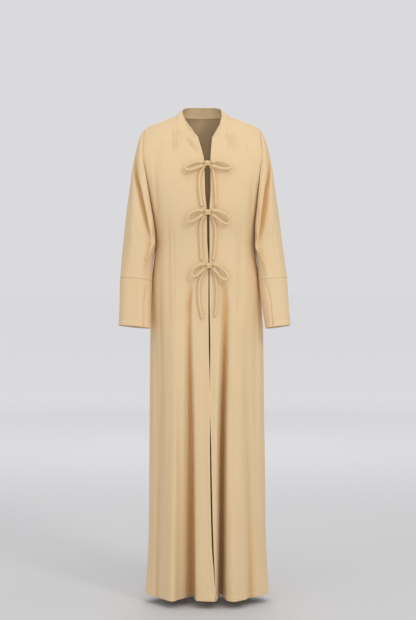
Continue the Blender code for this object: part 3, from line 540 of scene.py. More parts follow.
BOWS = (
    Bow(
        "top",
        {Side.RIGHT: ((0.003, 0.1450, 0.008), (-0.012, 0.1435, 0.008), (-0.029, 0.1475, 0.008),
                      (-0.044, 0.1550, 0.008), (-0.051, 0.1625, 0.008), (-0.044, 0.1680, 0.008),
                      (-0.028, 0.1660, 0.009), (-0.012, 0.1600, 0.010), (0.003, 0.1548, 0.011)),
         Side.LEFT: ((0.029, 0.1450, 0.008), (0.043, 0.1420, 0.008), (0.058, 0.1430, 0.009),
                     (0.074, 0.1490, 0.010), (0.0865, 0.1570, 0.010), (0.0785, 0.1640, 0.009),
                     (0.062, 0.1640, 0.009), (0.044, 0.1600, 0.010), (0.029, 0.1548, 0.011))},
        {Side.RIGHT: ((0.0070, 0.1570, 0.000), (0.000, 0.1660, 0.000), (-0.0060, 0.1790, 0.000),
                      (-0.0085, 0.1970, 0.000), (-0.0085, 0.2200, 0.000), (-0.0060, 0.2450, 0.000),
                      (-0.0030, 0.2640, 0.000), (-0.0005, 0.2770, 0.000)),
         Side.LEFT: ((0.0250, 0.1570, 0.000), (0.0315, 0.1670, 0.000), (0.0350, 0.1800, 0.000),
                     (0.0365, 0.2000, 0.000), (0.0385, 0.2250, 0.000), (0.0400, 0.2500, 0.000),
                     (0.0408, 0.2770, 0.000))},
    ),
    Bow(
        "middle",
        {Side.RIGHT: ((0.004, 0.2895, 0.008), (-0.010, 0.2880, 0.008), (-0.024, 0.2920, 0.009),
                      (-0.038, 0.3010, 0.009), (-0.0445, 0.3130, 0.009), (-0.040, 0.3225, 0.009),
                      (-0.028, 0.3210, 0.010), (-0.012, 0.3110, 0.011), (0.003, 0.3000, 0.011)),
         Side.LEFT: ((0.030, 0.2895, 0.008), (0.044, 0.2895, 0.008), (0.060, 0.2955, 0.009),
                     (0.075, 0.3060, 0.010), (0.0825, 0.3185, 0.010), (0.0755, 0.3285, 0.010),
                     (0.060, 0.3235, 0.010), (0.045, 0.3120, 0.011), (0.030, 0.3000, 0.011))},
        {Side.RIGHT: ((0.0080, 0.3035, 0.000), (0.001, 0.3130, 0.000), (-0.0040, 0.3270, 0.000),
                      (-0.0055, 0.3470, 0.000), (-0.0048, 0.3720, 0.000), (-0.0035, 0.4000, 0.000),
                      (-0.0022, 0.4220, 0.000), (-0.0015, 0.4370, 0.000)),
         Side.LEFT: ((0.0255, 0.3035, 0.000), (0.0330, 0.3160, 0.000), (0.0385, 0.3350, 0.000),
                     (0.0400, 0.3570, 0.000), (0.0395, 0.3820, 0.000), (0.0370, 0.4100, 0.000),
                     (0.0325, 0.4370, 0.000))},
    ),
    Bow(
        "bottom",
        {Side.RIGHT: ((0.008, 0.4495, 0.008), (-0.003, 0.4490, 0.008), (-0.015, 0.4545, 0.009),
                      (-0.027, 0.4640, 0.009), (-0.0315, 0.4755, 0.009), (-0.0255, 0.4850, 0.010),
                      (-0.0140, 0.4805, 0.011), (-0.002, 0.4700, 0.011), (0.008, 0.4600, 0.011)),
         Side.LEFT: ((0.033, 0.4495, 0.008), (0.045, 0.4515, 0.008), (0.057, 0.4600, 0.009),
                     (0.070, 0.4730, 0.010), (0.0775, 0.4865, 0.010), (0.0700, 0.4950, 0.010),
                     (0.056, 0.4880, 0.010), (0.044, 0.4740, 0.011), (0.033, 0.4600, 0.011))},
        {Side.RIGHT: ((0.0120, 0.4635, 0.000), (0.004, 0.4730, 0.000), (-0.0035, 0.4870, 0.000),
                      (-0.0085, 0.5070, 0.000), (-0.0100, 0.5300, 0.000), (-0.0085, 0.5620, 0.000),
                      (-0.0040, 0.5880, 0.000), (0.0010, 0.6110, 0.000)),
         Side.LEFT: ((0.0295, 0.4635, 0.000), (0.0365, 0.4770, 0.000), (0.0410, 0.4970, 0.000),
                     (0.0435, 0.5220, 0.000), (0.0435, 0.5520, 0.000), (0.0415, 0.5800, 0.000),
                     (0.0380, 0.6050, 0.000))},
    ),
)


# ---------------------------------------------------------------- interpolation
def mix(a: Any, b: Any, t: float) -> Any:
    """Straight blend of two numbers or two vectors."""
    return a + (b - a) * t


class Track:
    """Monotone cubic through points, level beyond its ends."""

    def __init__(self, xs: Sequence[float], ys: Sequence[float]) -> None:
        """Work out the tangents.

        Args:
            xs: places of the points, in any order.
            ys: their values.
        """
        pairs = sorted(zip(xs, ys))
        self.xs = [p[0] for p in pairs]
        self.ys = [p[1] for p in pairs]
        self.steps = [b - a for a, b in zip(self.xs, self.xs[1:])]
        slopes = [(b - a) / h for a, b, h in zip(self.ys, self.ys[1:], self.steps)]
        self.tangents = [slopes[0]]
        for i in range(1, len(slopes)):
            before, after = slopes[i - 1], slopes[i]
            if before * after <= 0.0:
                self.tangents.append(0.0)
                continue
            w1 = 2 * self.steps[i] + self.steps[i - 1]
            w2 = self.steps[i] + 2 * self.steps[i - 1]
            self.tangents.append((w1 + w2) / (w1 / before + w2 / after))
        self.tangents.append(slopes[-1])

    def __call__(self, x: float) -> float:
        """Value of the curve.

        Args:
            x: place along it.

        Returns:
            The value there.
        """
        if x <= self.xs[0]:
            return self.ys[0]
        if x >= self.xs[-1]:
            return self.ys[-1]
        k = bisect_right(self.xs, x) - 1
        step = self.steps[k]
        t = (x - self.xs[k]) / step
        low = (1 + 2 * t) * (1 - t) ** 2 * self.ys[k] + t * (1 - t) ** 2 * step * self.tangents[k]
        high = t * t * (3 - 2 * t) * self.ys[k + 1] + t * t * (t - 1) * step * self.tangents[k + 1]
        return low + high


def tracks(rows: Sequence[NamedTuple]) -> dict[str, Track]:
    """A track for each column of a table of drops."""
    drops = [row.drop for row in rows]
    return {name: Track(drops, [getattr(row, name) for row in rows]) for name in rows[0]._fields[1:]}


def curve_through(points: Sequence[Vector], steps: int,
                  ends: tuple[Vector, Vector] | None = None) -> list[Vector]:
    """Points of a soft curve through the given ones.

    Args:
        points: points that the curve passes.
        steps: steps for each gap between two of them.
        ends: points before the first and after the last, which steer the curve there.

    Returns:
        The points of the curve.
    """
    before, after = ends if ends else (2 * points[0] - points[1], 2 * points[-1] - points[-2])
    ring = [before, *points, after]
    out = []
    for a, b, c, d in zip(ring, ring[1:], ring[2:], ring[3:]):
        for k in range(steps):
            t = k / steps
            out.append(0.5 * ((2 * b) + (c - a) * t + (2 * a - 5 * b + 4 * c - d) * t * t
                              + (3 * b - a - 3 * c + d) * t ** 3))
    out.append(points[-1].copy())
    return out


# ---------------------------------------------------------------- the worked-out form
@dataclass
class Form:
    """Smooth form of the whole cloak, from its tables."""

    body: dict[str, Track] = field(default_factory=lambda: tracks(BODY))
    opening: dict[str, Track] = field(default_factory=lambda: tracks(OPENING))
    sleeve: dict[str, Track] = field(default_factory=lambda: tracks(SLEEVE))

    def shoulder_line(self, half: float) -> float:
        """Drop of the shoulder line at a half width."""
        tip = max(0.0, half - TIP_START_HALF)
        return SHOULDER_SLOPE * (half - NECK_HALF) + TIP_ROUNDING * tip ** 2

    def shoulder_roll(self, half: float, drop: float) -> float:
        """Share of the full depth that the cloth has reached at a half width and drop."""
        t = min(max((drop - self.shoulder_line(half)) / SHOULDER_ROLL, 0.0), 1.0)
        return (1.0 - (1.0 - t) ** ROLL_POWER) ** (1.0 / ROLL_POWER)

    def depth(self, face: Face, x: float, drop: float) -> float:
        """Depth of the smooth front or back.

        Args:
            face: front or back.
            x: place across.
            drop: its drop.

        Returns:
            The distance from the plane of the side seams.
        """
        full = self.body[face.value](drop)
        edge = self.body["side_" + face.value](drop)
        square = self.body["square"](drop)
        half = abs(x - self.body["lean"](drop))
        share = min(half / self.body["half"](drop), 1.0)
        section = (1.0 - share ** square) ** (1.0 / square)
        return (edge + (full - edge) * section) * self.shoulder_roll(half, drop)

    def opening_edge(self, side: Side, drop: float) -> float:
        """x of the front edge."""
        return self.opening["middle"](drop) + side.value * self.opening["half_gap"](drop)

    def fold_track(self, face: Face, side: Side, drop: float) -> tuple[list[float], list[float]]:
        """Angles round the section of the folds, and their insets.

        Args:
            face: front or back.
            side: the wearer's side.
            drop: where on the skirt.

        Returns:
            The angles of the inner edge, the folds and the side, and how far each lies in.
        """
        shape = max(drop, FOLD_DROPS[0])
        half, lean = self.body["half"](shape), self.body["lean"](shape)
        inner = self.opening_edge(side, shape) if face is Face.FRONT else lean
        angles = [math.asin(side.value * (inner - lean) / half)]
        insets = [0.0]
        for fold in FOLDS[face, side]:
            x = Track(FOLD_DROPS, (fold.x_hip, fold.x_mid, fold.x_hem))(shape)
            inset = Track((FOLD_START_DROP, *FOLD_DROPS), (0.0, fold.in_hip, fold.in_mid, fold.in_hem))
            angles.append(math.asin(side.value * (x - lean) / half))
            insets.append(inset(drop))
        return angles + [math.pi / 2], insets + [0.0]

    def row(self, face: Face, side: Side, side_drop: float, middle_drop: float,
            neck: Neck | None = None) -> list[Vector]:
        """Row of points over a front or half a back, from its middle to its side.

        Args:
            face: front or back.
            side: the wearer's side.
            side_drop: drop of the row on the side or armhole.
            middle_drop: drop of the row on the opening or the middle back.
            neck: point of the neckline where the row starts, if it starts there.

        Returns:
            The points of the row.
        """
        half, lean_out = self.body["half"](side_drop), self.body["lean"](side_drop)
        lean_in = lean_out
        inner = self.opening_edge(side, middle_drop) if face is Face.FRONT else lean_out
        if neck:
            lean_in, inner = neck.lean, neck.lean + side.value * neck.half
        angles, insets = self.fold_track(face, side, side_drop)
        inset_at = Track(angles, insets)
        start = math.asin(side.value * (inner - lean_in) / half)
        low = math.sin(start)
        even = Track(EVEN_DROPS, (1.0, 0.0))(side_drop)
        total, passed = sum(FORM_STEPS[face]), 0
        places = []
        for k, (form_steps, fine) in enumerate(zip(FORM_STEPS[face], FINE_STEPS[face])):
            places += [(mix(angles[k], angles[k + 1], j / fine), (passed + form_steps * j / fine) / total)
                       for j in range(fine)]
            passed += form_steps
        places.append((angles[-1], 1.0))
        turn = -1 if face is Face.FRONT else 1
        out = []
        for angle, share_of_row in places:
            reach = mix((angle - angles[0]) / (angles[-1] - angles[0]), share_of_row, even)
            share = math.sin(mix(start, math.pi / 2, reach))
            across = (share - low) / (1.0 - low)
            sloped = self.shoulder_line(half * share) + mix(
                middle_drop - self.shoulder_line(half * low), side_drop - self.shoulder_line(half), across)
            drop = mix(mix(middle_drop, side_drop, across), sloped, even)
            x = mix(lean_in, lean_out, across) + side.value * half * share
            out.append(Vector((x, turn * (self.depth(face, x, drop) - inset_at(angle)), -drop)))
        return out

    def neck_point(self, face: Face, place: float) -> Neck:
        """Point of the neckline at a place counted in points of its table."""
        columns = zip(*NECKLINE[face])
        return Neck(*(Track(range(len(NECKLINE[face])), column)(place) for column in columns))

    def rows(self, face: Face, side: Side) -> list[list[Vector]]:
        """All rows of a front or of half a back.

        Args:
            face: front or back.
            side: the wearer's side.

        Returns:
            The rows, from the hem to the shoulder line.
        """
        out = []
        side_track = Track(range(len(COURSES)), [course.side for course in COURSES])
        middle_track = Track(range(len(COURSES)), [getattr(course, face.value) for course in COURSES])
        for k, (low, high) in enumerate(zip(COURSES, COURSES[1:])):
            span = low.side - high.side
            count = max(2, round(span / ROW_PITCH))
            shares = [j / count for j in range(count)] if k else [mark / span for mark in HEM_MARKS]
            for share in shares:
                out.append(self.row(face, side, side_track(k + share), middle_track(k + share)))
        sides = Track(range(len(NECK_COURSES) + 1), (COURSES[-1].side, *NECK_COURSES))
        for j in range(NECK_ROWS):
            neck = self.neck_point(face, j / NECK_STEPS)
            out.append(self.row(face, side, sides(j / NECK_STEPS), neck.drop, neck))
        return out

    def armhole(self, face: Face, side: Side, drop: float) -> Vector:
        """Point of the front or back armhole.

        Args:
            face: front or back.
            side: the wearer's side.
            drop: its drop.

        Returns:
            The point, whose z is left at 0.
        """
        x = self.body["lean"](drop) + side.value * self.body["half"](drop)
        turn = -1 if face is Face.FRONT else 1
        return Vector((x, turn * self.depth(face, x, drop), 0.0))

    def ring(self, side: Side, drop: float) -> list[Vector]:
        """Ring of a sleeve or cuff.

        Args:
            side: the wearer's side.
            drop: its drop.

        Returns:
            Points from its inner seam round the front and back to the seam again.
        """
        row = {name: track(drop) for name, track in self.sleeve.items()}
        outer = row["outer_lean"] + side.value * row["outer"]
        inner = row["inner_lean"] + side.value * row["inner"]
        front, back = row["front"], row["back"]
        middle = 0.5 * (front + back)
        if drop <= UNDERARM_DROP:
            seam_front, seam_back = (self.armhole(face, side, drop) for face in Face)
        else:
            ease = max(0.0, 1.0 - (drop - UNDERARM_DROP) / UNDERARM_EASE)
            start = self.armhole(Face.FRONT, side, UNDERARM_DROP)
            start_inner = (self.sleeve["inner_lean"](UNDERARM_DROP)
                           + side.value * self.sleeve["inner"](UNDERARM_DROP))
            seam_front = Vector((inner + (start.x - start_inner) * ease ** 2, mix(middle, start.y, ease), 0))
            seam_back = seam_front.copy()

        def at(share: float, y: float) -> Vector:
            """Place at a share of the ring's width."""
            return Vector((mix(inner, outer, share), y, 0.0))

        def round_off(share: float, depth: float) -> float:
            """Depth rounded down towards the outer line."""
            s = max(0.0, (share - ROUND_START) / (1.0 - ROUND_START))
            return mix(middle, depth, math.sqrt(max(0.0, 1.0 - s * s)))

        wall, shoulder = mix(*WALL_SHARES, row["round"]), mix(*SHOULDER_SHARES, row["round"])
        dip_at = row["dip_at"]
        swell = 0.5 * (dip_at + 1.0)
        rim = mix(swell, 1.0, FRONT_RIM)
        named = [
            seam_front,
            at(wall, mix(front, seam_front.y, WALL_PULL)),
            at(shoulder, mix(front, seam_front.y, SHOULDER_PULL)),
            at(mix(shoulder, dip_at, 0.5), front),
            at(dip_at, round_off(dip_at, front) + row["dip"]),
            at(swell, round_off(swell, front)),
            at(rim, round_off(rim, front)),
            at(1.0, middle),
            at(BACK_RIM, round_off(BACK_RIM, back)),
            at(BACK_SWELL, round_off(BACK_SWELL, back)),
            at(mix(shoulder, BACK_SWELL, BACK_FULL), back),
            at(shoulder, mix(back, seam_back.y, SHOULDER_PULL)),
            at(wall, mix(back, seam_back.y, WALL_PULL)),
            seam_back,
        ]
        closed = drop > UNDERARM_DROP
        ring = curve_through(named, RING_STEPS, (named[-2], named[1]) if closed else None)
        settled = Track((UNDERARM_DROP, CUFF_SEAM_DROP), (0.0, 1.0))(drop)
        for point in ring:
            share = (point.x - inner) / (outer - inner) if abs(outer - inner) > 1e-6 else 0.0
            point.z = -(drop + row["tilt"] * (point.y - middle) - settled * SEAM_RISE * (share - 0.5))
        if not closed:
            ring[0], ring[-1] = seam_front, seam_back
            ring[0].z = ring[-1].z = -drop
        return ring


# ---------------------------------------------------------------- grids and shells
class Grid:
    """Rows and columns of points that make one piece of cloth."""

    def __init__(self, rows: Sequence[Sequence[Vector]], outward: Callable[[np.ndarray], np.ndarray]) -> None:
        """Keep the points so that their faces point outwards.

        Args:
            rows: rows of points, from the lower edge up.
            outward: gives a rough outward direction for the grid's middle point.
        """
        self.points = np.array([[tuple(p) for p in row] for row in rows])
        middle = self.points.shape[0] // 2, self.points.shape[1] // 2
        if np.dot(self.normals()[middle], outward(self.points[middle])) < 0.0:
            self.points = self.points[:, ::-1].copy()

    def normals(self) -> np.ndarray:
        """Unit normal at each point."""
        normal = np.cross(np.gradient(self.points, axis=1), np.gradient(self.points, axis=0))
        return normal / np.maximum(np.linalg.norm(normal, axis=2, keepdims=True), 1e-12)

    @property
    def across(self) -> np.ndarray:
        """Distance of each point from the first column, along its row."""
        steps = np.linalg.norm(np.diff(self.points, axis=1), axis=2)
        return np.concatenate([np.zeros((len(steps), 1)), np.cumsum(steps, axis=1)], axis=1)

    @property
    def up(self) -> np.ndarray:
        """Distance of each point from the first row, along its column."""
        steps = np.linalg.norm(np.diff(self.points, axis=0), axis=2)
        return np.concatenate([np.zeros((1, steps.shape[1])), np.cumsum(steps, axis=0)], axis=0)

    @property
    def down(self) -> np.ndarray:
        """Distance of each point from the last row, along its column."""
        return self.up[-1:] - self.up

    @property
    def from_sides(self) -> np.ndarray:
        """Distance of each point from the nearer end of its row."""
        return np.minimum(self.across, self.across[:, -1:] - self.across)

    @property
    def drop(self) -> np.ndarray:
        """Drop of each point."""
        return -self.points[:, :, 2]

    def push(self, depth: np.ndarray) -> None:
        """Move each point in by a depth."""
        self.points = self.points - self.normals() * depth[:, :, None]

    def hollow(self, reach: int = 5, full: float = 0.008, power: float = 1.5) -> np.ndarray:
        """How far each point lies behind its row's neighbours, from 0 to 1: the mask of the painted shade in
        the hollows of folds.

        Args:
            reach: columns to the neighbours on each side.
            full: the distance that counts as 1.
            power: above 1 it leaves shallow places out.

        Returns:
            The share for each point.
        """
        padded = np.pad(self.points, ((0, 0), (reach, reach), (0, 0)), mode="edge")
        between = 0.5 * (padded[:, :-2 * reach] + padded[:, 2 * reach:])
        behind = ((between - self.points) * self.normals()).sum(axis=2)
        return np.clip(behind / full, 0.0, 1.0) ** power

    def flat(self) -> tuple[float, float, float]:
        """Size of the cloth when it is laid flat.

        Returns:
            Its greatest width and length, and its area.
        """
        a = self.points[1:, 1:] - self.points[:-1, :-1]
        b = self.points[:-1, 1:] - self.points[1:, :-1]
        area = 0.5 * np.linalg.norm(np.cross(a, b), axis=2).sum()
        return float(self.across[:, -1].max()), float(self.up[-1].max()), float(area)

    def distance_to(self, line: Sequence[Vector]) -> np.ndarray:
        """Distance of each point from the nearest point of a line."""
        return np.min([np.linalg.norm(self.points - np.array(p), axis=2) for p in line], axis=0)

    def mesh(self, name: str, trim: np.ndarray, slit: tuple[int, int] | None = None) -> Mesh:
        """Mesh of the grid with its cloth coordinates.

        Args:
            name: name of the piece.
            trim: distance of each point from the nearest stitched edge.
            slit: row and column from which upwards the grid is open to the next column.

        Returns:
            The new object.
        """
        rows, columns = self.points.shape[:2]
        across, up = self.across, self.up
        bm = bmesh.new()
        uv = bm.loops.layers.uv.new("cloth")
        trim_layer = bm.verts.layers.float.new("trim")
        # painted shade: the mask that darkens the hollows of folds in the finish
        hollow_layer = bm.verts.layers.float.new("hollow")
        hollow = self.hollow()
        verts = []
        for r in range(rows):
            verts.append([bm.verts.new(point) for point in self.points[r]])
            for vert, from_trim, depth in zip(verts[-1], trim[r], hollow[r]):
                vert[trim_layer] = float(from_trim)
                vert[hollow_layer] = float(depth)
        for r in range(rows - 1):
            for c in range(columns - 1):
                if slit and r >= slit[0] and c == slit[1]:
                    continue
                corners = ((r, c), (r, c + 1), (r + 1, c + 1), (r + 1, c))
                face = bm.faces.new([verts[i][j] for i, j in corners])
                face.smooth = True
                for loop, (i, j) in zip(face.loops, corners):
                    loop[uv].uv = (across[i, j], up[i, j])
        bmesh.ops.remove_doubles(bm, verts=bm.verts, dist=MERGE_DISTANCE)
        return new_piece(name, bm)


def new_piece(name: str, bm: bmesh.types.BMesh) -> Mesh:
    """Turn finished mesh data into an object of the scene.

    Args:
        name: name of the piece.
        bm: its mesh data, which is freed.

    Returns:
        The new object.
    """
    mesh = bpy.data.meshes.new(name)
    bm.to_mesh(mesh)
    bm.free()
    piece = bpy.data.objects.new(name, mesh)
    bpy.context.scene.collection.objects.link(piece)
    return piece


def dress(piece: Mesh, node: str, finish: bpy.types.Material) -> None:
    """Give a piece its finish and put it in the place of its node.

    Args:
        piece: the piece.
        node: node of the frame that it stands for.
        finish: its material.
    """
    piece.data.materials.clear()
    piece.data.materials.append(finish)
    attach(piece, "root")
    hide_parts(node)


def select_only(piece: Mesh) -> None:
    """Make a piece the only selected and the active one.

    Args:
        piece: the piece.
    """
    for other in bpy.context.selected_objects:
        other.select_set(False)
    piece.select_set(True)
    bpy.context.view_layer.objects.active = piece


def thicken(piece: Mesh, thickness: float) -> None:
    """Give a shell its cloth thickness, inwards.

    Args:
        piece: the shell.
        thickness: of its cloth.
    """
    select_only(piece)
    solidify = piece.modifiers.new("cloth", "SOLIDIFY")
    solidify.thickness = thickness
    solidify.offset = -1.0
    solidify.use_even_offset = False
    bpy.ops.object.modifier_apply(modifier=solidify.name)
    bpy.ops.object.shade_smooth_by_angle(angle=SMOOTH_ANGLE)


def soft_step(value: np.ndarray, start: float, end: float) -> np.ndarray:
    """Smooth rise from 0 at start to 1 at end."""
    t = np.clip((value - start) / (end - start), 0.0, 1.0)
    return t * t * (3.0 - 2.0 * t)


def laid_on(creases: Sequence[Crease], across: np.ndarray, drop: np.ndarray) -> np.ndarray:
    """Depth of several creases together.

    Args:
        creases: the creases.
        across: places across the piece.
        drop: drops of the same places.

    Returns:
        The sum of their depths at each place.
    """
    return sum((crease.depth_at(across, drop) for crease in creases), np.zeros(drop.shape))


def slow_waves(points: np.ndarray, scale: float, seed: float) -> np.ndarray:
    """Slow random unevenness of hanging cloth, longer down than across.

    Args:
        points: rows and columns of points.
        scale: waves to a metre.
        seed: shifts the pattern.

    Returns:
        A height from -1 to 1 for each point.
    """
    out = np.zeros(points.shape[:2])
    for r in range(points.shape[0]):
        for c in range(points.shape[1]):
            x, y, z = points[r, c]
            out[r, c] = noise.noise(Vector((x * scale, y * scale + seed, z * scale * WAVE_STRETCH)))
    return out


def turning(distance: np.ndarray, depth: float) -> np.ndarray:
    """Depth profile of a stitched turning: raised up to its stitch line, sunk at the line.

    Args:
        distance: distance of each point from the folded edge.
        depth: where the stitch line runs.

    Returns:
        How far each point is sunk, less than 0 where it is raised.
    """
    raised = -TURN_HEIGHT * (1.0 - soft_step(distance, depth - TURN_END[0], depth + TURN_END[1]))
    sunk = TURN_HEIGHT * np.exp(-(((distance - depth) / STITCH_HALF) ** 2))
    return raised + sunk


# ---------------------------------------------------------------- shader maths
class Socket:
    """Output socket whose arithmetic adds Math nodes."""

    def __init__(self, sheet: "NodeSheet", socket: bpy.types.NodeSocket) -> None:
        """Wrap a socket of a sheet of nodes."""
        self.sheet = sheet
        self.socket = socket

    def _math(self, operation: str, a: Any, b: Any) -> "Socket":
        """Math node of two values."""
        return self.sheet.node("ShaderNodeMath", {"operation": operation}, {0: a, 1: b})

    def __add__(self, other: Any) -> "Socket":
        """Sum."""
        return self._math("ADD", self, other)

    def __radd__(self, other: Any) -> "Socket":
        """Sum."""
        return self._math("ADD", other, self)

    def __sub__(self, other: Any) -> "Socket":
        """Difference."""
        return self._math("SUBTRACT", self, other)

    def __rsub__(self, other: Any) -> "Socket":
        """Difference."""
        return self._math("SUBTRACT", other, self)

    def __mul__(self, other: Any) -> "Socket":
        """Product."""
        return self._math("MULTIPLY", self, other)

    def __rmul__(self, other: Any) -> "Socket":
        """Product."""
        return self._math("MULTIPLY", other, self)

    def __truediv__(self, other: Any) -> "Socket":
        """Quotient."""
        return self._math("DIVIDE", self, other)

    def absolute(self) -> "Socket":
        """Absolute value."""
        return self._math("ABSOLUTE", self, 0.0)

    def sine(self) -> "Socket":
        """Sine."""
        return self._math("SINE", self, 0.0)

    def band(self, middle: float, reach: float) -> "Socket":
        """Narrow band of values.

        Args:
            middle: the value at which it is 1.
            reach: distance from that value at which it is 0.

        Returns:
            The band.
        """
        off = (self - middle).absolute() / reach
        settings = {"operation": "SUBTRACT", "use_clamp": True}
        return self.sheet.node("ShaderNodeMath", settings, {0: 1.0, 1: off})


class NodeSheet:
    """Nodes of one material."""

    def __init__(self, name: str) -> None:
        """Start a material with its shader.

        Args:
            name: name of the material.
        """
        self.material = bpy.data.materials.new(name)
        self.material.use_nodes = True
        self.tree = self.material.node_tree
        self.shader = self.tree.nodes["Principled BSDF"]

    def node(self, kind: str, settings: dict[str, Any], inputs: dict[Any, Any], output: Any = 0) -> Socket:
        """Add a node.

        Args:
            kind: the node's type.
            settings: its properties, set first.
            inputs: values or links of its sockets, by name or number.
            output: the output that is returned, by name or number.

        Returns:
            The wrapped output.
        """
        node = self.tree.nodes.new(kind)
        for name, value in settings.items():
            setattr(node, name, value)
        for key, value in inputs.items():
            if isinstance(value, Socket):
                self.tree.links.new(value.socket, node.inputs[key])
            else:
                node.inputs[key].default_value = value
        return Socket(self, node.outputs[output])

    def blend(self, share: Any, a: Any, b: Any) -> Socket:
        """Mix of two colours."""
        return self.node("ShaderNodeMix", {"data_type": "RGBA"}, {0: share, 6: a, 7: b}, 2)

    def parts(self, vector: Socket) -> tuple[Socket, Socket]:
        """The first two parts of a vector."""
        first = self.node("ShaderNodeSeparateXYZ", {}, {0: vector})
        return first, Socket(self, first.socket.node.outputs[1])

    def feed(self, name: str, value: Any) -> None:
        """Give one of the shader's sockets a value or a link.

        Args:
            name: name of the socket.
            value: a number, or the socket to link.
        """
        if isinstance(value, Socket):
            self.tree.links.new(value.socket, self.shader.inputs[name])
        else:
            self.shader.inputs[name].default_value = value


@dataclass(frozen=True)
class Crepe:
    """Matt crepe: pebbled twisted yarns, a faint rib down the cloth, slow uneven shade, and painted shade in
    the hollows of folds.

    Attributes:
        name: name of the material.
        colour: of the cloth in the light.
        deep: that its shade goes to.
        fold: painted shade colour that the hollows of folds go to, standing in for the shade and the warm
            light that cloth throws on cloth there.
        roughness: how matt it is.
        sheen: share of soft light that stands on its hairs.
        sheen_roughness: how soft that is.
        gloss: how strongly it mirrors.
        pebble_pitch: width of a pebble.
        pebble_noise: detail and roughness of the pebbles.
        rib_pitch: width of a rib.
        rib_relief: share of the relief that the ribs have, the pebbles have the rest.
        relief: strength and height of the relief.
        slow_noise: size and detail of the slow shade.
        stitch_at: distance of the stitch line from the edge, none where it's nought.
        stitch_pitch: length of a stitch with its gap.
        stitch_half: half width of the line.
        stitch_dash: share of the line that comes and goes with each stitch.
        stitch_shade: how much the line darkens the cloth.
        stitch_depth: how far it sinks it.
        fold_share: how far the hollows go to the painted shade colour.
        pebble_shade: share of shade from pebbles.
        slow_shade: share of shade from the slow one.
        rib_shade: share of shade from ribs.
        mean_shade: shade all over.
    """

    name: str
    colour: Triple = (0.79, 0.60, 0.365)
    deep: Triple = (0.69, 0.49, 0.265)
    # painted shade: the warm brown that the hollows of folds are darkened to
    fold: Triple = (0.58, 0.305, 0.065)
    roughness: float = 0.86
    sheen: float = 0.10
    sheen_roughness: float = 0.5
    gloss: float = 0.25
    pebble_pitch: float = 0.0011
    pebble_noise: tuple[float, float] = (2.0, 0.6)
    rib_pitch: float = 0.0021
    rib_relief: float = 0.25
    relief: tuple[float, float] = (0.35, 0.0005)
    slow_noise: tuple[float, float] = (7.0, 3.0)
    stitch_at: float = 0.0
    stitch_pitch: float = 0.0032
    stitch_half: float = 0.0009
    stitch_dash: float = 0.7
    stitch_shade: float = 0.45
    stitch_depth: float = 0.90
    fold_share: float = 0.68
    pebble_shade: float = 0.35
    slow_shade: float = 0.50
    rib_shade: float = 0.06
    mean_shade: float = 0.30

    def material(self) -> bpy.types.Material:
        """The finish as a material.

        Returns:
            A material whose pattern follows the cloth's own coordinates.
        """
        sheet = NodeSheet(self.name)
        cloth = sheet.node("ShaderNodeUVMap", {"uv_map": "cloth"}, {})
        place = sheet.node("ShaderNodeTexCoord", {}, {}, "Object")
        across, along = sheet.parts(cloth)
        detail, roughness = self.pebble_noise
        pebbles = sheet.node("ShaderNodeTexNoise", {}, {"Vector": cloth, "Scale": 1.0 / self.pebble_pitch,
                                                        "Detail": detail, "Roughness": roughness})
        rib = (across * (2 * math.pi / self.rib_pitch)).sine() * 0.5 + 0.5
        size, detail = self.slow_noise
        slow = sheet.node("ShaderNodeTexNoise", {}, {"Vector": place, "Scale": size, "Detail": detail})
        shade = (pebbles - 0.5) * self.pebble_shade + (slow - 0.5) * self.slow_shade
        shade = shade + rib * self.rib_shade + self.mean_shade
        height = pebbles * (1.0 - self.rib_relief) + rib * self.rib_relief
        if self.stitch_at > 0.0:
            trim = sheet.node("ShaderNodeAttribute", {"attribute_name": "trim"}, {}, "Fac")
            line = trim.band(self.stitch_at, self.stitch_half)
            dash = ((across + along) * (2 * math.pi / self.stitch_pitch)).sine() * 0.5 + 0.5
            stitch = line * (dash * self.stitch_dash + (1.0 - self.stitch_dash))
            shade = shade + stitch * self.stitch_shade
            height = height - stitch * self.stitch_depth
        # painted shade: the hollows of folds are darkened towards the fold colour by their depth
        hollow = sheet.node("ShaderNodeAttribute", {"attribute_name": "hollow"}, {}, "Fac")
        colour = sheet.blend(shade, (*self.colour, 1.0), (*self.deep, 1.0))
        colour = sheet.blend(hollow * self.fold_share, colour, (*self.fold, 1.0))
        strength, rise = self.relief
        bump = sheet.node("ShaderNodeBump", {}, {"Height": height, "Strength": strength, "Distance": rise})
        sheet.feed("Base Color", colour)
        sheet.feed("Normal", bump)
        sheet.feed("Roughness", self.roughness)
        sheet.feed("Sheen Weight", self.sheen)
        sheet.feed("Sheen Roughness", self.sheen_roughness)
        sheet.feed("Specular IOR Level", self.gloss)
        return sheet.material


SAND_CREPE = Crepe("sand_crepe", stitch_at=HEM_TURN)
ROULEAU_CREPE = Crepe("rouleau_crepe", colour=(0.76, 0.57, 0.335), deep=(0.65, 0.455, 0.24))


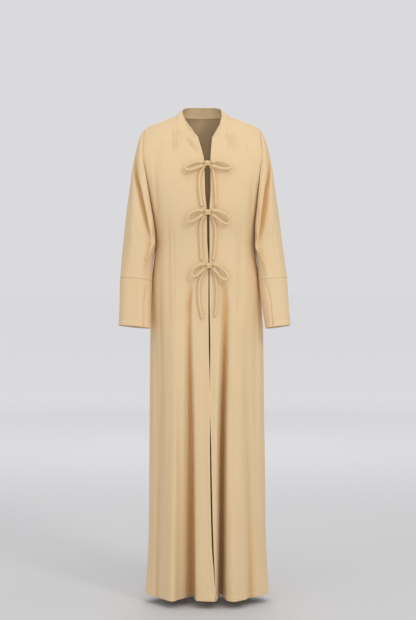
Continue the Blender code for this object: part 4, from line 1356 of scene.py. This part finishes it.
@dataclass(frozen=True)
class StageFinish:
    """Plain matt floor with painted light: paler far away, where the lamps don't reach.

    Attributes:
        name: name of the material.
        near: colour under the cloak.
        far: colour far away, paler as painted light where the lamps don't reach.
        near_reach: distance at which it starts to pale.
        far_reach: distance at which it's palest.
        roughness: how matt it is.
    """

    name: str = "studio_floor"
    near: Triple = (0.60, 0.60, 0.605)
    far: Triple = (0.98, 0.98, 0.985)
    near_reach: float = 1.6
    far_reach: float = 7.0
    roughness: float = 0.9

    def material(self) -> bpy.types.Material:
        """The finish as a material.

        Returns:
            A material that pales with the distance from the origin.
        """
        sheet = NodeSheet(self.name)
        # painted light: the floor pales with the distance from the origin, where the lamps don't reach
        place = sheet.node("ShaderNodeTexCoord", {}, {}, "Object")
        reach = sheet.node("ShaderNodeVectorMath", {"operation": "LENGTH"}, {0: place}, "Value")
        share = sheet.node("ShaderNodeMapRange", {"interpolation_type": "SMOOTHSTEP"},
                           {"Value": reach, "From Min": self.near_reach, "From Max": self.far_reach})
        sheet.feed("Base Color", sheet.blend(share, (*self.near, 1.0), (*self.far, 1.0)))
        sheet.feed("Roughness", self.roughness)
        return sheet.material


# ---------------------------------------------------------------- camera, lights, floor
class Lamp(NamedTuple):
    """Soft square light: where it stands, its side, its power in watts and its colour."""

    name: str
    place: Triple
    size: float
    power: float
    colour: Triple


@dataclass
class Studio:
    """Camera, soft lights and a pale floor.

    Attributes:
        lamps: the lights.
        aim: point that the lights face.
        camera_place: where the camera stands.
        pitch_down: how far it looks down.
        lens: its focal length, in millimetres.
        film_width: width of its film, in millimetres.
        sight: how far it sees.
        floor_gap: distance from the hem down to the floor.
        floor_size: side of the floor.
        sky_colour: colour of the light from all round.
        sky_strength: its strength.
    """

    lamps: tuple[Lamp, ...] = (
        Lamp("key", (2.3, -3.5, 2.0), 0.8, 43.0, (1.0, 0.985, 0.96)),
        Lamp("fill", (-2.7, -3.2, 1.4), 2.4, 13.0, (1.0, 0.99, 0.97)),
        Lamp("front", (0.1, -5.8, -0.3), 0.8, 32.0, (1.0, 0.99, 0.97)),
        Lamp("top", (0.2, -1.6, 2.9), 1.3, 14.0, (1.0, 1.0, 1.0)),
        Lamp("back", (0.0, 3.6, 1.6), 2.6, 40.0, (1.0, 1.0, 1.0)),
    )
    aim: Triple = (0.0, 0.0, -0.7)
    camera_place: Triple = (0.0174, -5.2, -0.381)
    pitch_down: float = math.radians(2.30)
    lens: float = 99.0
    film_width: float = 36.0
    sight: float = 100.0
    floor_gap: float = 0.024
    floor_size: float = 60.0
    sky_colour: Triple = (0.80, 0.80, 0.82)
    sky_strength: float = 0.88

    def camera(self) -> None:
        """Set up the camera square to the front, looking slightly down."""
        data = bpy.data.cameras.new("camera")
        data.lens = self.lens
        data.sensor_width = self.film_width
        data.clip_end = self.sight
        camera = bpy.data.objects.new("camera", data)
        camera.location = self.camera_place
        camera.rotation_euler = (math.pi / 2 - self.pitch_down, 0.0, 0.0)
        bpy.context.scene.collection.objects.link(camera)
        bpy.context.scene.camera = camera

    def light(self, lamp: Lamp) -> None:
        """Add a light that faces the middle of the cloak.

        Args:
            lamp: its name, place, size, power and colour.
        """
        data = bpy.data.lights.new(lamp.name, "AREA")
        data.shape = "SQUARE"
        data.size = lamp.size
        data.energy = lamp.power
        data.color = lamp.colour
        made = bpy.data.objects.new(lamp.name, data)
        made.location = lamp.place
        made.rotation_euler = (Vector(self.aim) - Vector(lamp.place)).to_track_quat("-Z", "Y").to_euler()
        bpy.context.scene.collection.objects.link(made)

    def build(self, lowest: float) -> None:
        """Add lights, floor and surroundings.

        Args:
            lowest: height of the cloak's hem.
        """
        for lamp in self.lamps:
            self.light(lamp)
        bpy.ops.object.select_all(action="DESELECT")
        bpy.ops.mesh.primitive_plane_add(size=self.floor_size, location=(0.0, 0.0, lowest - self.floor_gap))
        floor = bpy.context.object
        floor.name = "floor"
        floor.data.materials.append(StageFinish().material())
        world = bpy.data.worlds.new("studio")
        world.use_nodes = True
        sky = world.node_tree.nodes["Background"]
        sky.inputs["Color"].default_value = (*self.sky_colour, 1.0)
        sky.inputs["Strength"].default_value = self.sky_strength
        bpy.context.scene.world = world
        bpy.context.scene.view_settings.view_transform = "Standard"


# ---------------------------------------------------------------- pieces of the cloak
def finish_shell(piece: Mesh, grid: Grid, thickness: float, finish: bpy.types.Material) -> None:
    """Thicken, dress and log the flat size of a piece of cloth.

    Args:
        piece: the piece's mesh.
        grid: the grid that it was made from.
        thickness: of its cloth.
        finish: its material.
    """
    thicken(piece, thickness)
    width, length, area = grid.flat()
    dress(piece, piece.name.removesuffix("_cloth"), finish)
    log.info("%s: %.0f x %.0f mm flat", piece.name, width * 1000, length * 1000)


@dataclass
class BodyPanels:
    """Two fronts and the back.

    Attributes:
        form: the form that they follow.
        wave_height: of the slow waves.
        wave_pitch: slow waves to a metre.
        wave_seeds: shift of the slow waves on each face.
        seam_fade: distance from a seam over which creases start.
        opening_near: x that the front edges lie near, at the hem.
    """

    form: Form
    wave_height: float = 0.0011
    wave_pitch: float = 9.0
    wave_seeds: dict[Face, float] = field(default_factory=lambda: {Face.FRONT: 3.0, Face.BACK: 11.0})
    seam_fade: float = 0.012
    opening_near: float = 0.040

    def creases(self, grid: Grid, face: Face, sides: Sequence[Side]) -> np.ndarray:
        """Depth of all creases over a panel.

        Args:
            grid: the panel's grid.
            face: front or back.
            sides: the sides that the panel covers.

        Returns:
            The depth at each point.
        """
        depth = laid_on([crease for side in sides for crease in BODY_CREASES[face, side]],
                        grid.points[:, :, 0], grid.drop)
        waves = slow_waves(grid.points, self.wave_pitch, self.wave_seeds[face])
        return depth + waves * self.wave_height

    def depth(self, grid: Grid, face: Face, sides: Sequence[Side], from_side: np.ndarray,
              from_top: np.ndarray) -> np.ndarray:
        """Depth of a panel's creases, hem turning and side seams.

        Args:
            grid: the panel's grid.
            face: front or back.
            sides: the sides that the panel covers.
            from_side: distance of each point from the nearest side seam.
            from_top: distance of each point from the neckline and the shoulder line.

        Returns:
            The depth at each point.
        """
        depth = self.creases(grid, face, sides)
        depth = depth * soft_step(np.minimum(from_side, from_top), 0.0, self.seam_fade)
        clear = soft_step(from_side, 0.0, SIDE_CLEAR)
        depth += turning(grid.up, HEM_TURN) * clear
        return depth + SIDE_SINK * (1.0 - clear) * soft_step(grid.drop, *SIDE_SINK_START)

    def front(self, side: Side, finish: bpy.types.Material) -> Mesh:
        """Build one front.

        Args:
            side: the wearer's side.
            finish: its material.

        Returns:
            The piece.
        """
        rows = self.form.rows(Face.FRONT, side)
        grid = Grid(rows, lambda p: np.array((0.0, -1.0, 0.0)))
        first, last = grid.points[len(HEM_MARKS) // 2, (0, -1), 0]
        across = grid.across
        opening_first = abs(first - self.opening_near) < abs(last - self.opening_near)
        from_edge = across if opening_first else across[:, -1:] - across
        from_top = np.minimum(grid.down, grid.distance_to([row[0] for row in rows[-NECK_ROWS:]]))
        from_hem = grid.up
        depth = self.depth(grid, Face.FRONT, (side,), across[:, -1:] - from_edge, from_top)
        grid.push(depth + turning(from_edge, EDGE_TURN) * soft_step(from_top, 0.0, self.seam_fade))
        swing = soft_step(grid.drop, *MEET_START) * (1.0 - soft_step(grid.drop, *MEET_END))
        swing *= 1.0 - soft_step(from_edge, 0.0, MEET_REACH)
        grid.points[:, :, 0] -= swing * EDGE_MEET * side.value
        trim = np.minimum(from_hem, from_edge + HEM_TURN - EDGE_TURN)
        piece = grid.mesh(f"front_{side.word}_cloth", trim)
        finish_shell(piece, grid, CLOTH_THICKNESS, finish)
        return piece

    def back(self, finish: bpy.types.Material) -> Mesh:
        """Build the back.

        Args:
            finish: its material.

        Returns:
            The piece.
        """
        right, left = (self.form.rows(Face.BACK, side) for side in Side)
        rows = [r[::-1] + l for r, l in zip(right, left)]
        grid = Grid(rows, lambda p: np.array((0.0, 1.0, 0.0)))
        centre, neck_row = len(right[0]) - 1, len(rows) - NECK_ROWS
        neckline = [row[0] for half in (right, left) for row in half[-NECK_ROWS:]]
        from_top = np.minimum(grid.down, grid.distance_to(neckline))
        grid.push(self.depth(grid, Face.BACK, tuple(Side), grid.from_sides, from_top))
        middle = grid.points[:neck_row + 1, centre:centre + 2].mean(axis=1)
        grid.points[:neck_row + 1, centre] = grid.points[:neck_row + 1, centre + 1] = middle
        piece = grid.mesh("back_cloth", grid.up, (neck_row, centre))
        finish_shell(piece, grid, CLOTH_THICKNESS, finish)
        return piece

    def build(self, finish: bpy.types.Material) -> None:
        """Build the three panels.

        Args:
            finish: their material.
        """
        for side in Side:
            self.front(side, finish)
        self.back(finish)


@dataclass
class Arm:
    """Sleeve and cuff of one side.

    Attributes:
        form: the form that both follow.
        side: the wearer's side.
        wave_height: of the slow waves.
        sleeve_waves: pitch and seed of the sleeve's slow waves.
        cuff_waves: pitch and seed of the cuff's.
        row_pitch: distance between the sleeve's rings.
        tip_gap: distance of the last ring from the shoulder tip.
        side_fades: distances from the underarm seam over which creases start, sleeve and cuff.
        end_fades: distances from the sleeve's lower and upper end, and from the cuff's upper end.
        seam_ridge: height of the sleeve's edge above the cuff seam.
        ridge_at: where that ridge is highest.
        ridge_half: its half width.
        seam_marks: distances of the sleeve's first rings from the cuff seam.
        cuff_marks: distances of the cuff's last rings from it.
        cuff_sink: how far the cuff's edge is sunk at the seam.
        sink_half: half width of that.
        unstitched: distance from a stitch line that stands for none.
    """

    form: Form
    side: Side
    wave_height: float = 0.0012
    sleeve_waves: tuple[float, float] = (12.0, 5.0)
    cuff_waves: tuple[float, float] = (14.0, 9.0)
    row_pitch: float = 0.8 * ROW_PITCH
    tip_gap: float = 0.002
    side_fades: tuple[float, float] = (0.012, 0.010)
    end_fades: tuple[float, float, float] = (0.014, 0.020, 0.020)
    seam_ridge: float = 0.0011
    ridge_at: float = 0.0030
    ridge_half: float = 0.0017
    seam_marks: tuple[float, ...] = (0.0, 0.0012, 0.0024, 0.0036, 0.0052, 0.0075)
    cuff_marks: tuple[float, ...] = (0.003, 0.0015, 0.0)
    cuff_sink: float = 0.0008
    sink_half: float = 0.0016
    unstitched: float = 0.1

    def grid(self, drops: Sequence[float], tip: bool = False) -> Grid:
        """Grid of rings at some drops.

        Args:
            drops: the drops, from the lowest ring up.
            tip: whether the rings end in the point of the shoulder.

        Returns:
            The grid.
        """
        rows = [self.form.ring(self.side, drop) for drop in drops]
        if tip:
            point = self.form.armhole(Face.FRONT, self.side, NECK_COURSES[-1])
            point.z = -NECK_COURSES[-1]
            rows.append([point] * len(rows[0]))
        return Grid(rows, lambda p: np.array((float(self.side.value), 0.0, 0.0)))

    def around(self, grid: Grid) -> np.ndarray:
        """Place round the ring of each point.

        Args:
            grid: the grid of rings.

        Returns:
            The places in metres of the mean girth, from the front seam.
        """
        share = np.linspace(0.0, 1.0, grid.points.shape[1])
        if grid.points[0, 3, 1] > grid.points[0, -4, 1]:
            share = 1.0 - share
        return np.broadcast_to(share * SLEEVE_GIRTH, grid.points.shape[:2])

    def creases(self, grid: Grid, creases: Sequence[Crease], waves: tuple[float, float]) -> np.ndarray:
        """Depth of a piece's creases and slow waves.

        Args:
            grid: the piece's grid.
            creases: the creases on it.
            waves: pitch and seed of its slow waves.

        Returns:
            The depth at each point.
        """
        pitch, seed = waves
        uneven = slow_waves(grid.points, pitch, seed * self.side.value) * self.wave_height
        return laid_on(creases, self.around(grid), grid.drop) + uneven

    def sleeve(self, finish: bpy.types.Material) -> Mesh:
        """Build the sleeve from the cuff seam to the shoulder tip.

        Args:
            finish: its material.

        Returns:
            The piece.
        """
        drops = [CUFF_SEAM_DROP - mark for mark in self.seam_marks]
        count = round((drops[-1] - NECK_COURSES[-1]) / self.row_pitch)
        last = NECK_COURSES[-1] + self.tip_gap
        drops += [mix(drops[-1], last, (j + 1) / count) for j in range(count)]
        grid = self.grid(drops, tip=True)
        fade = soft_step(grid.from_sides, 0.0, self.side_fades[0])
        fade *= soft_step(grid.up, 0.0, self.end_fades[0]) * soft_step(grid.down, 0.0, self.end_fades[1])
        depth = self.creases(grid, SLEEVE_CREASES[self.side], self.sleeve_waves) * fade
        ridge = self.seam_ridge * np.exp(-(((grid.up - self.ridge_at) / self.ridge_half) ** 2))
        grid.push(depth - ridge * soft_step(grid.from_sides, 0.0, SIDE_CLEAR))
        piece = grid.mesh(f"sleeve_{self.side.word}_cloth", grid.up + self.unstitched)
        finish_shell(piece, grid, CLOTH_THICKNESS, finish)
        return piece

    def cuff(self, finish: bpy.types.Material) -> Mesh:
        """Build the cuff from its hem to its seam.

        Args:
            finish: its material.

        Returns:
            The piece.
        """
        drops = [CUFF_HEM_DROP - mark for mark in HEM_MARKS]
        count = round((drops[-1] - CUFF_SEAM_DROP) / ROW_PITCH)
        drops += [mix(drops[-1], CUFF_SEAM_DROP, (j + 1) / count) for j in range(count)]
        drops[-1:] = [CUFF_SEAM_DROP + mark for mark in self.cuff_marks]
        grid = self.grid(drops)
        depth = self.creases(grid, CUFF_CREASES[self.side], self.cuff_waves)
        depth *= soft_step(grid.down, 0.0, self.end_fades[2])
        depth *= soft_step(grid.from_sides, 0.0, self.side_fades[1])
        depth += turning(grid.up, HEM_TURN)
        grid.push(depth + self.cuff_sink * np.exp(-((grid.down / self.sink_half) ** 2)))
        piece = grid.mesh(f"cuff_{self.side.word}_cloth", grid.up)
        finish_shell(piece, grid, CLOTH_THICKNESS, finish)
        return piece

    def build(self, finish: bpy.types.Material) -> None:
        """Build both pieces."""
        self.sleeve(finish)
        self.cuff(finish)


@dataclass
class Collar:
    """Stand band round the neck with slanted front ends.

    Attributes:
        form: the form that it stands on.
        middle: y of the neck's middle.
        bulge: how far it swells outwards half way up.
        waves: pitch and seed of its slow waves.
        wave_height: of its slow waves.
        wave_fade: distance from the seam over which they start.
        seam_sink: how far it is sunk at the seam.
        sink_half: half width of that.
        stitch_in: distance of the stitch line from its edge.
        rows_up: rows of its grid.
        steps: columns for each point of the neckline's table.
    """

    form: Form
    middle: float = -0.010
    bulge: float = 0.0015
    waves: tuple[float, float] = (22.0, 2.0)
    wave_height: float = 0.0006
    wave_fade: float = 0.010
    seam_sink: float = 0.0007
    sink_half: float = 0.0022
    stitch_in: float = 0.006
    rows_up: int = 12
    steps: int = 8

    def edge(self, face: Face, side: Side) -> tuple[list[Vector], list[Vector]]:
        """Edges of the band over one face.

        Args:
            face: front or back.
            side: the wearer's side.

        Returns:
            The lower and the upper edge, from the middle to the shoulder line.
        """
        tops = COLLAR_TOP[face]
        count = len(tops)
        half, depth, drop, lean = (Track(range(count), column) for column in zip(*tops))
        sides = Track(range(count), (COURSES[-1].side, *NECK_COURSES))
        low, high = [], []
        for j in range((count - 1) * self.steps + 1):
            place = j / self.steps
            neck = self.form.neck_point(face, place)
            low.append(self.form.row(face, side, sides(place), neck.drop, neck)[0])
            high.append(Vector((lean(place) + side.value * half(place), depth(place), -drop(place))))
        return low, high

    def build(self, finish: bpy.types.Material) -> Mesh:
        """Build the band from the right front end round the back to the left.

        Args:
            finish: its material.

        Returns:
            The piece.
        """
        low: list[Vector] = []
        high: list[Vector] = []
        for side in Side:
            front_low, front_high = self.edge(Face.FRONT, side)
            back_low, back_high = self.edge(Face.BACK, side)
            side_low = front_low + back_low[-2::-1]
            side_high = front_high + back_high[-2::-1]
            if side is Side.LEFT:
                side_low, side_high = side_low[-2::-1], side_high[-2::-1]
            low += side_low
            high += side_high
        rows = []
        for j in range(self.rows_up + 1):
            share = j / self.rows_up
            swell = 4.0 * share * (1.0 - share) * self.bulge
            line = []
            for a, b in zip(low, high):
                away = Vector((a.x, a.y - self.middle, 0.0)).normalized()
                line.append(mix(a, b, share) + away * swell)
            rows.append(line)
        grid = Grid(rows, lambda p: np.array((p[0], p[1] - self.middle, 0.0)))
        waves = slow_waves(grid.points, *self.waves) * self.wave_height
        sunk = self.seam_sink * np.exp(-((grid.up / self.sink_half) ** 2))
        grid.push(sunk + waves * soft_step(grid.up, 0.0, self.wave_fade))
        trim = np.minimum(grid.down, grid.from_sides) + HEM_TURN - self.stitch_in
        piece = grid.mesh("collar_cloth", trim)
        finish_shell(piece, grid, COLLAR_THICKNESS, finish)
        return piece


@dataclass
class Ties:
    """Three bows of rouleau cord.

    Attributes:
        form: the form that the cords lie on.
        sides: flats round a cord.
        step: distance between its rings.
        route_steps: steps of the soft curve for each point of a route.
        end_taper: how much of a bare end is rounded off.
        tip_least: square of the share of the radius that is left at its tip.
        slant: how far the cloth's ribs turn round a cord, as it is cut on the bias.
        unevenness: share by which a cord's radius varies.
        uneven_pitch: how closely it varies.
        seam_depth: share by which its seam is sunk.
        seam_half: half the seam's width as an angle.
        knot_girth: cloth round and along a knot's strand.
        strands: shift, half sizes and lean of the knot's crossing strands.
        wraps: shift, radii and lean of the turns round them.
        wrap_squash: how flat a turn is pulled.
        strand_grid: faces round and along a strand.
        wrap_grid: faces along and round a turn.
    """

    form: Form
    sides: int = 18
    step: float = 0.0022
    route_steps: int = 16
    end_taper: float = 0.0035
    tip_least: float = 0.12
    slant: float = 0.9
    unevenness: float = 0.05
    uneven_pitch: float = 90.0
    seam_depth: float = 0.05
    seam_half: float = 0.25
    knot_girth: tuple[float, float] = (0.029, 0.026)
    strands: tuple[tuple[Triple, Triple, float], ...] = (
        ((0.0002, -0.0006, 0.0036), (0.0138, 0.0050, 0.0044), 0.05),
        ((-0.0040, 0.0000, -0.0034), (0.0092, 0.0048, 0.0042), -0.42),
        ((0.0042, 0.0000, -0.0034), (0.0092, 0.0048, 0.0042), 0.44),
    )
    wraps: tuple[tuple[Triple, tuple[float, float], float], ...] = (
        ((-0.0008, -0.0004, 0.0006), (0.0052, 0.0036), 0.16),
    )
    wrap_squash: float = 0.74
    strand_grid: tuple[int, int] = (32, 20)
    wrap_grid: tuple[int, int] = (36, 18)

    def route(self, points: Sequence[Triple]) -> list[Vector]:
        """Even points along a soft curve over the fronts.

        Args:
            points: x, drop and lift of the route's own points.

        Returns:
            Points a small step apart.
        """
        off = TIE_CLEARANCE + TIE_RADIUS
        places = [Vector((x, -self.form.depth(Face.FRONT, x, drop) - off - lift, -drop))
                  for x, drop, lift in points]
        fine = curve_through(places, self.route_steps)
        length = sum((b - a).length for a, b in zip(fine, fine[1:]))
        count = round(length / self.step)
        out, walked = [fine[0]], 0.0
        for a, b in zip(fine, fine[1:]):
            gap = (b - a).length
            while len(out) < count and walked + gap >= length / count * len(out) - 1e-9:
                out.append(mix(a, b, (length / count * len(out) - walked) / gap))
            walked += gap
        return out + [fine[-1]]

    def tube(self, name: str, path: Sequence[Vector], bare_end: bool) -> Mesh:
        """Round cord along a path, soft and a little uneven, with rounded ends.

        Args:
            name: name of the piece.
            path: its middle line.
            bare_end: whether its last end is a sewn-off tip.

        Returns:
            The piece.
        """
        bm = bmesh.new()
        uv = bm.loops.layers.uv.new("cloth")
        rings, alongs = [], []
        across = Vector((0.0, -1.0, 0.0))
        walked = 0.0
        for i, point in enumerate(path):
            way = (path[min(i + 1, len(path) - 1)] - path[max(i - 1, 0)]).normalized()
            across = (across - way * across.dot(way)).normalized()
            other = way.cross(across)
            if i:
                walked += (point - path[i - 1]).length
            left = (len(path) - 1 - i) * self.step
            swell = 1.0 + self.unevenness * noise.noise(point * self.uneven_pitch)
            if bare_end and left < self.end_taper:
                swell *= math.sqrt(max(self.tip_least, 1.0 - (1.0 - left / self.end_taper) ** 2))
            ring = []
            for k in range(self.sides):
                turn = 2 * math.pi * k / self.sides
                seam = self.seam_depth * math.exp(-((turn - math.pi) / self.seam_half) ** 2)
                radius = TIE_RADIUS * swell * (1.0 - seam)
                offset = across * math.cos(turn) + other * math.sin(turn)
                ring.append(bm.verts.new(point + offset * radius))
            rings.append(ring)
            alongs.append(walked)
        for i, (low, high) in enumerate(zip(rings, rings[1:])):
            for k in range(self.sides):
                n = (k + 1) % self.sides
                face = bm.faces.new((low[k], low[n], high[n], high[k]))
                face.smooth = True
                girth = 2 * math.pi * TIE_RADIUS / self.sides
                corners = ((k, i), (k + 1, i), (k + 1, i + 1), (k, i + 1))
                for loop, (u, v) in zip(face.loops, corners):
                    loop[uv].uv = (u * girth + alongs[v] * self.slant, alongs[v])
        bm.faces.new(list(reversed(rings[0])))
        bm.faces.new(rings[-1])
        bmesh.ops.recalc_face_normals(bm, faces=bm.faces)
        return new_piece(name, bm)

    def knot(self, bow: Bow, finish: bpy.types.Material) -> Mesh:
        """Pulled knot: strands that cross and a turn round them.

        Args:
            bow: the bow that it holds.
            finish: its material.

        Returns:
            The piece.
        """
        node_low, node_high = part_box(f"tie_{bow.name}_knot")
        centre = (Vector(node_low) + Vector(node_high)) * 0.5
        made = []
        for shift, half, lean in self.strands:
            bpy.ops.object.select_all(action="DESELECT")
            round_it, along_it = self.strand_grid
            bpy.ops.mesh.primitive_uv_sphere_add(segments=round_it, ring_count=along_it, radius=1.0,
                                                 scale=half, location=centre + Vector(shift),
                                                 rotation=(0.0, lean, 0.0))
            made.append(bpy.context.object)
        for shift, (major, minor), lean in self.wraps:
            bpy.ops.object.select_all(action="DESELECT")
            along_it, round_it = self.wrap_grid
            bpy.ops.mesh.primitive_torus_add(major_radius=major, minor_radius=minor,
                                             major_segments=along_it, minor_segments=round_it,
                                             location=centre + Vector(shift),
                                             rotation=(0.0, math.pi / 2 + lean, 0.0))
            bpy.context.object.scale = (1.0, self.wrap_squash, 1.0)
            made.append(bpy.context.object)
        for turn in made:
            turn.select_set(True)
        bpy.context.view_layer.objects.active = made[0]
        bpy.ops.object.join()
        piece = bpy.context.object
        piece.name = f"tie_{bow.name}_knot_cloth"
        bpy.ops.object.transform_apply(location=True, rotation=True, scale=True)
        bpy.ops.object.shade_smooth()
        if not piece.data.uv_layers:
            piece.data.uv_layers.new(name="cloth")
        piece.data.uv_layers[0].name = "cloth"
        for loop in piece.data.uv_layers[0].data:
            loop.uv = (loop.uv[0] * self.knot_girth[0], loop.uv[1] * self.knot_girth[1])
        dress(piece, f"tie_{bow.name}_knot", finish)
        return piece

    def build(self, finish: bpy.types.Material) -> None:
        """Build all bows.

        Args:
            finish: their material.
        """
        for bow in BOWS:
            knot = self.knot(bow, finish)
            for kind, routes, end in (("loop", bow.loops, "knot"), ("tail", bow.tails, "bare")):
                for side in Side:
                    path = self.route(routes[side])
                    length = sum((b - a).length for a, b in zip(path, path[1:]))
                    node = f"tie_{bow.name}_{kind}_{side.word}"
                    piece = self.tube(node + "_cord", path, bare_end=kind == "tail")
                    dress(piece, node, finish)
                    tuple(path[0])
                    [tuple(p) for p in path]
                    log.info("%s: %.0f mm", piece.name, length * 1000)


def main(frame: dict[str, Any]) -> None:
    """Build the camera, the ties, the cloth and the studio in order.

    Args:
        frame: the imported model.
    """
    logging.basicConfig(level=logging.INFO, format="%(name)s %(message)s")
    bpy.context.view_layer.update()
    log.info("frame of %d nodes", len(frame["nodes"]))
    form = Form()
    studio = Studio()
    studio.camera()
    Ties(form).build(ROULEAU_CREPE.material())
    crepe = SAND_CREPE.material()
    BodyPanels(form).build(crepe)
    for side in Side:
        Arm(form, side).build(crepe)
    Collar(form).build(crepe)
    studio.build(-HEM_DROP)


if __name__ == "__main__":
    main(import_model())
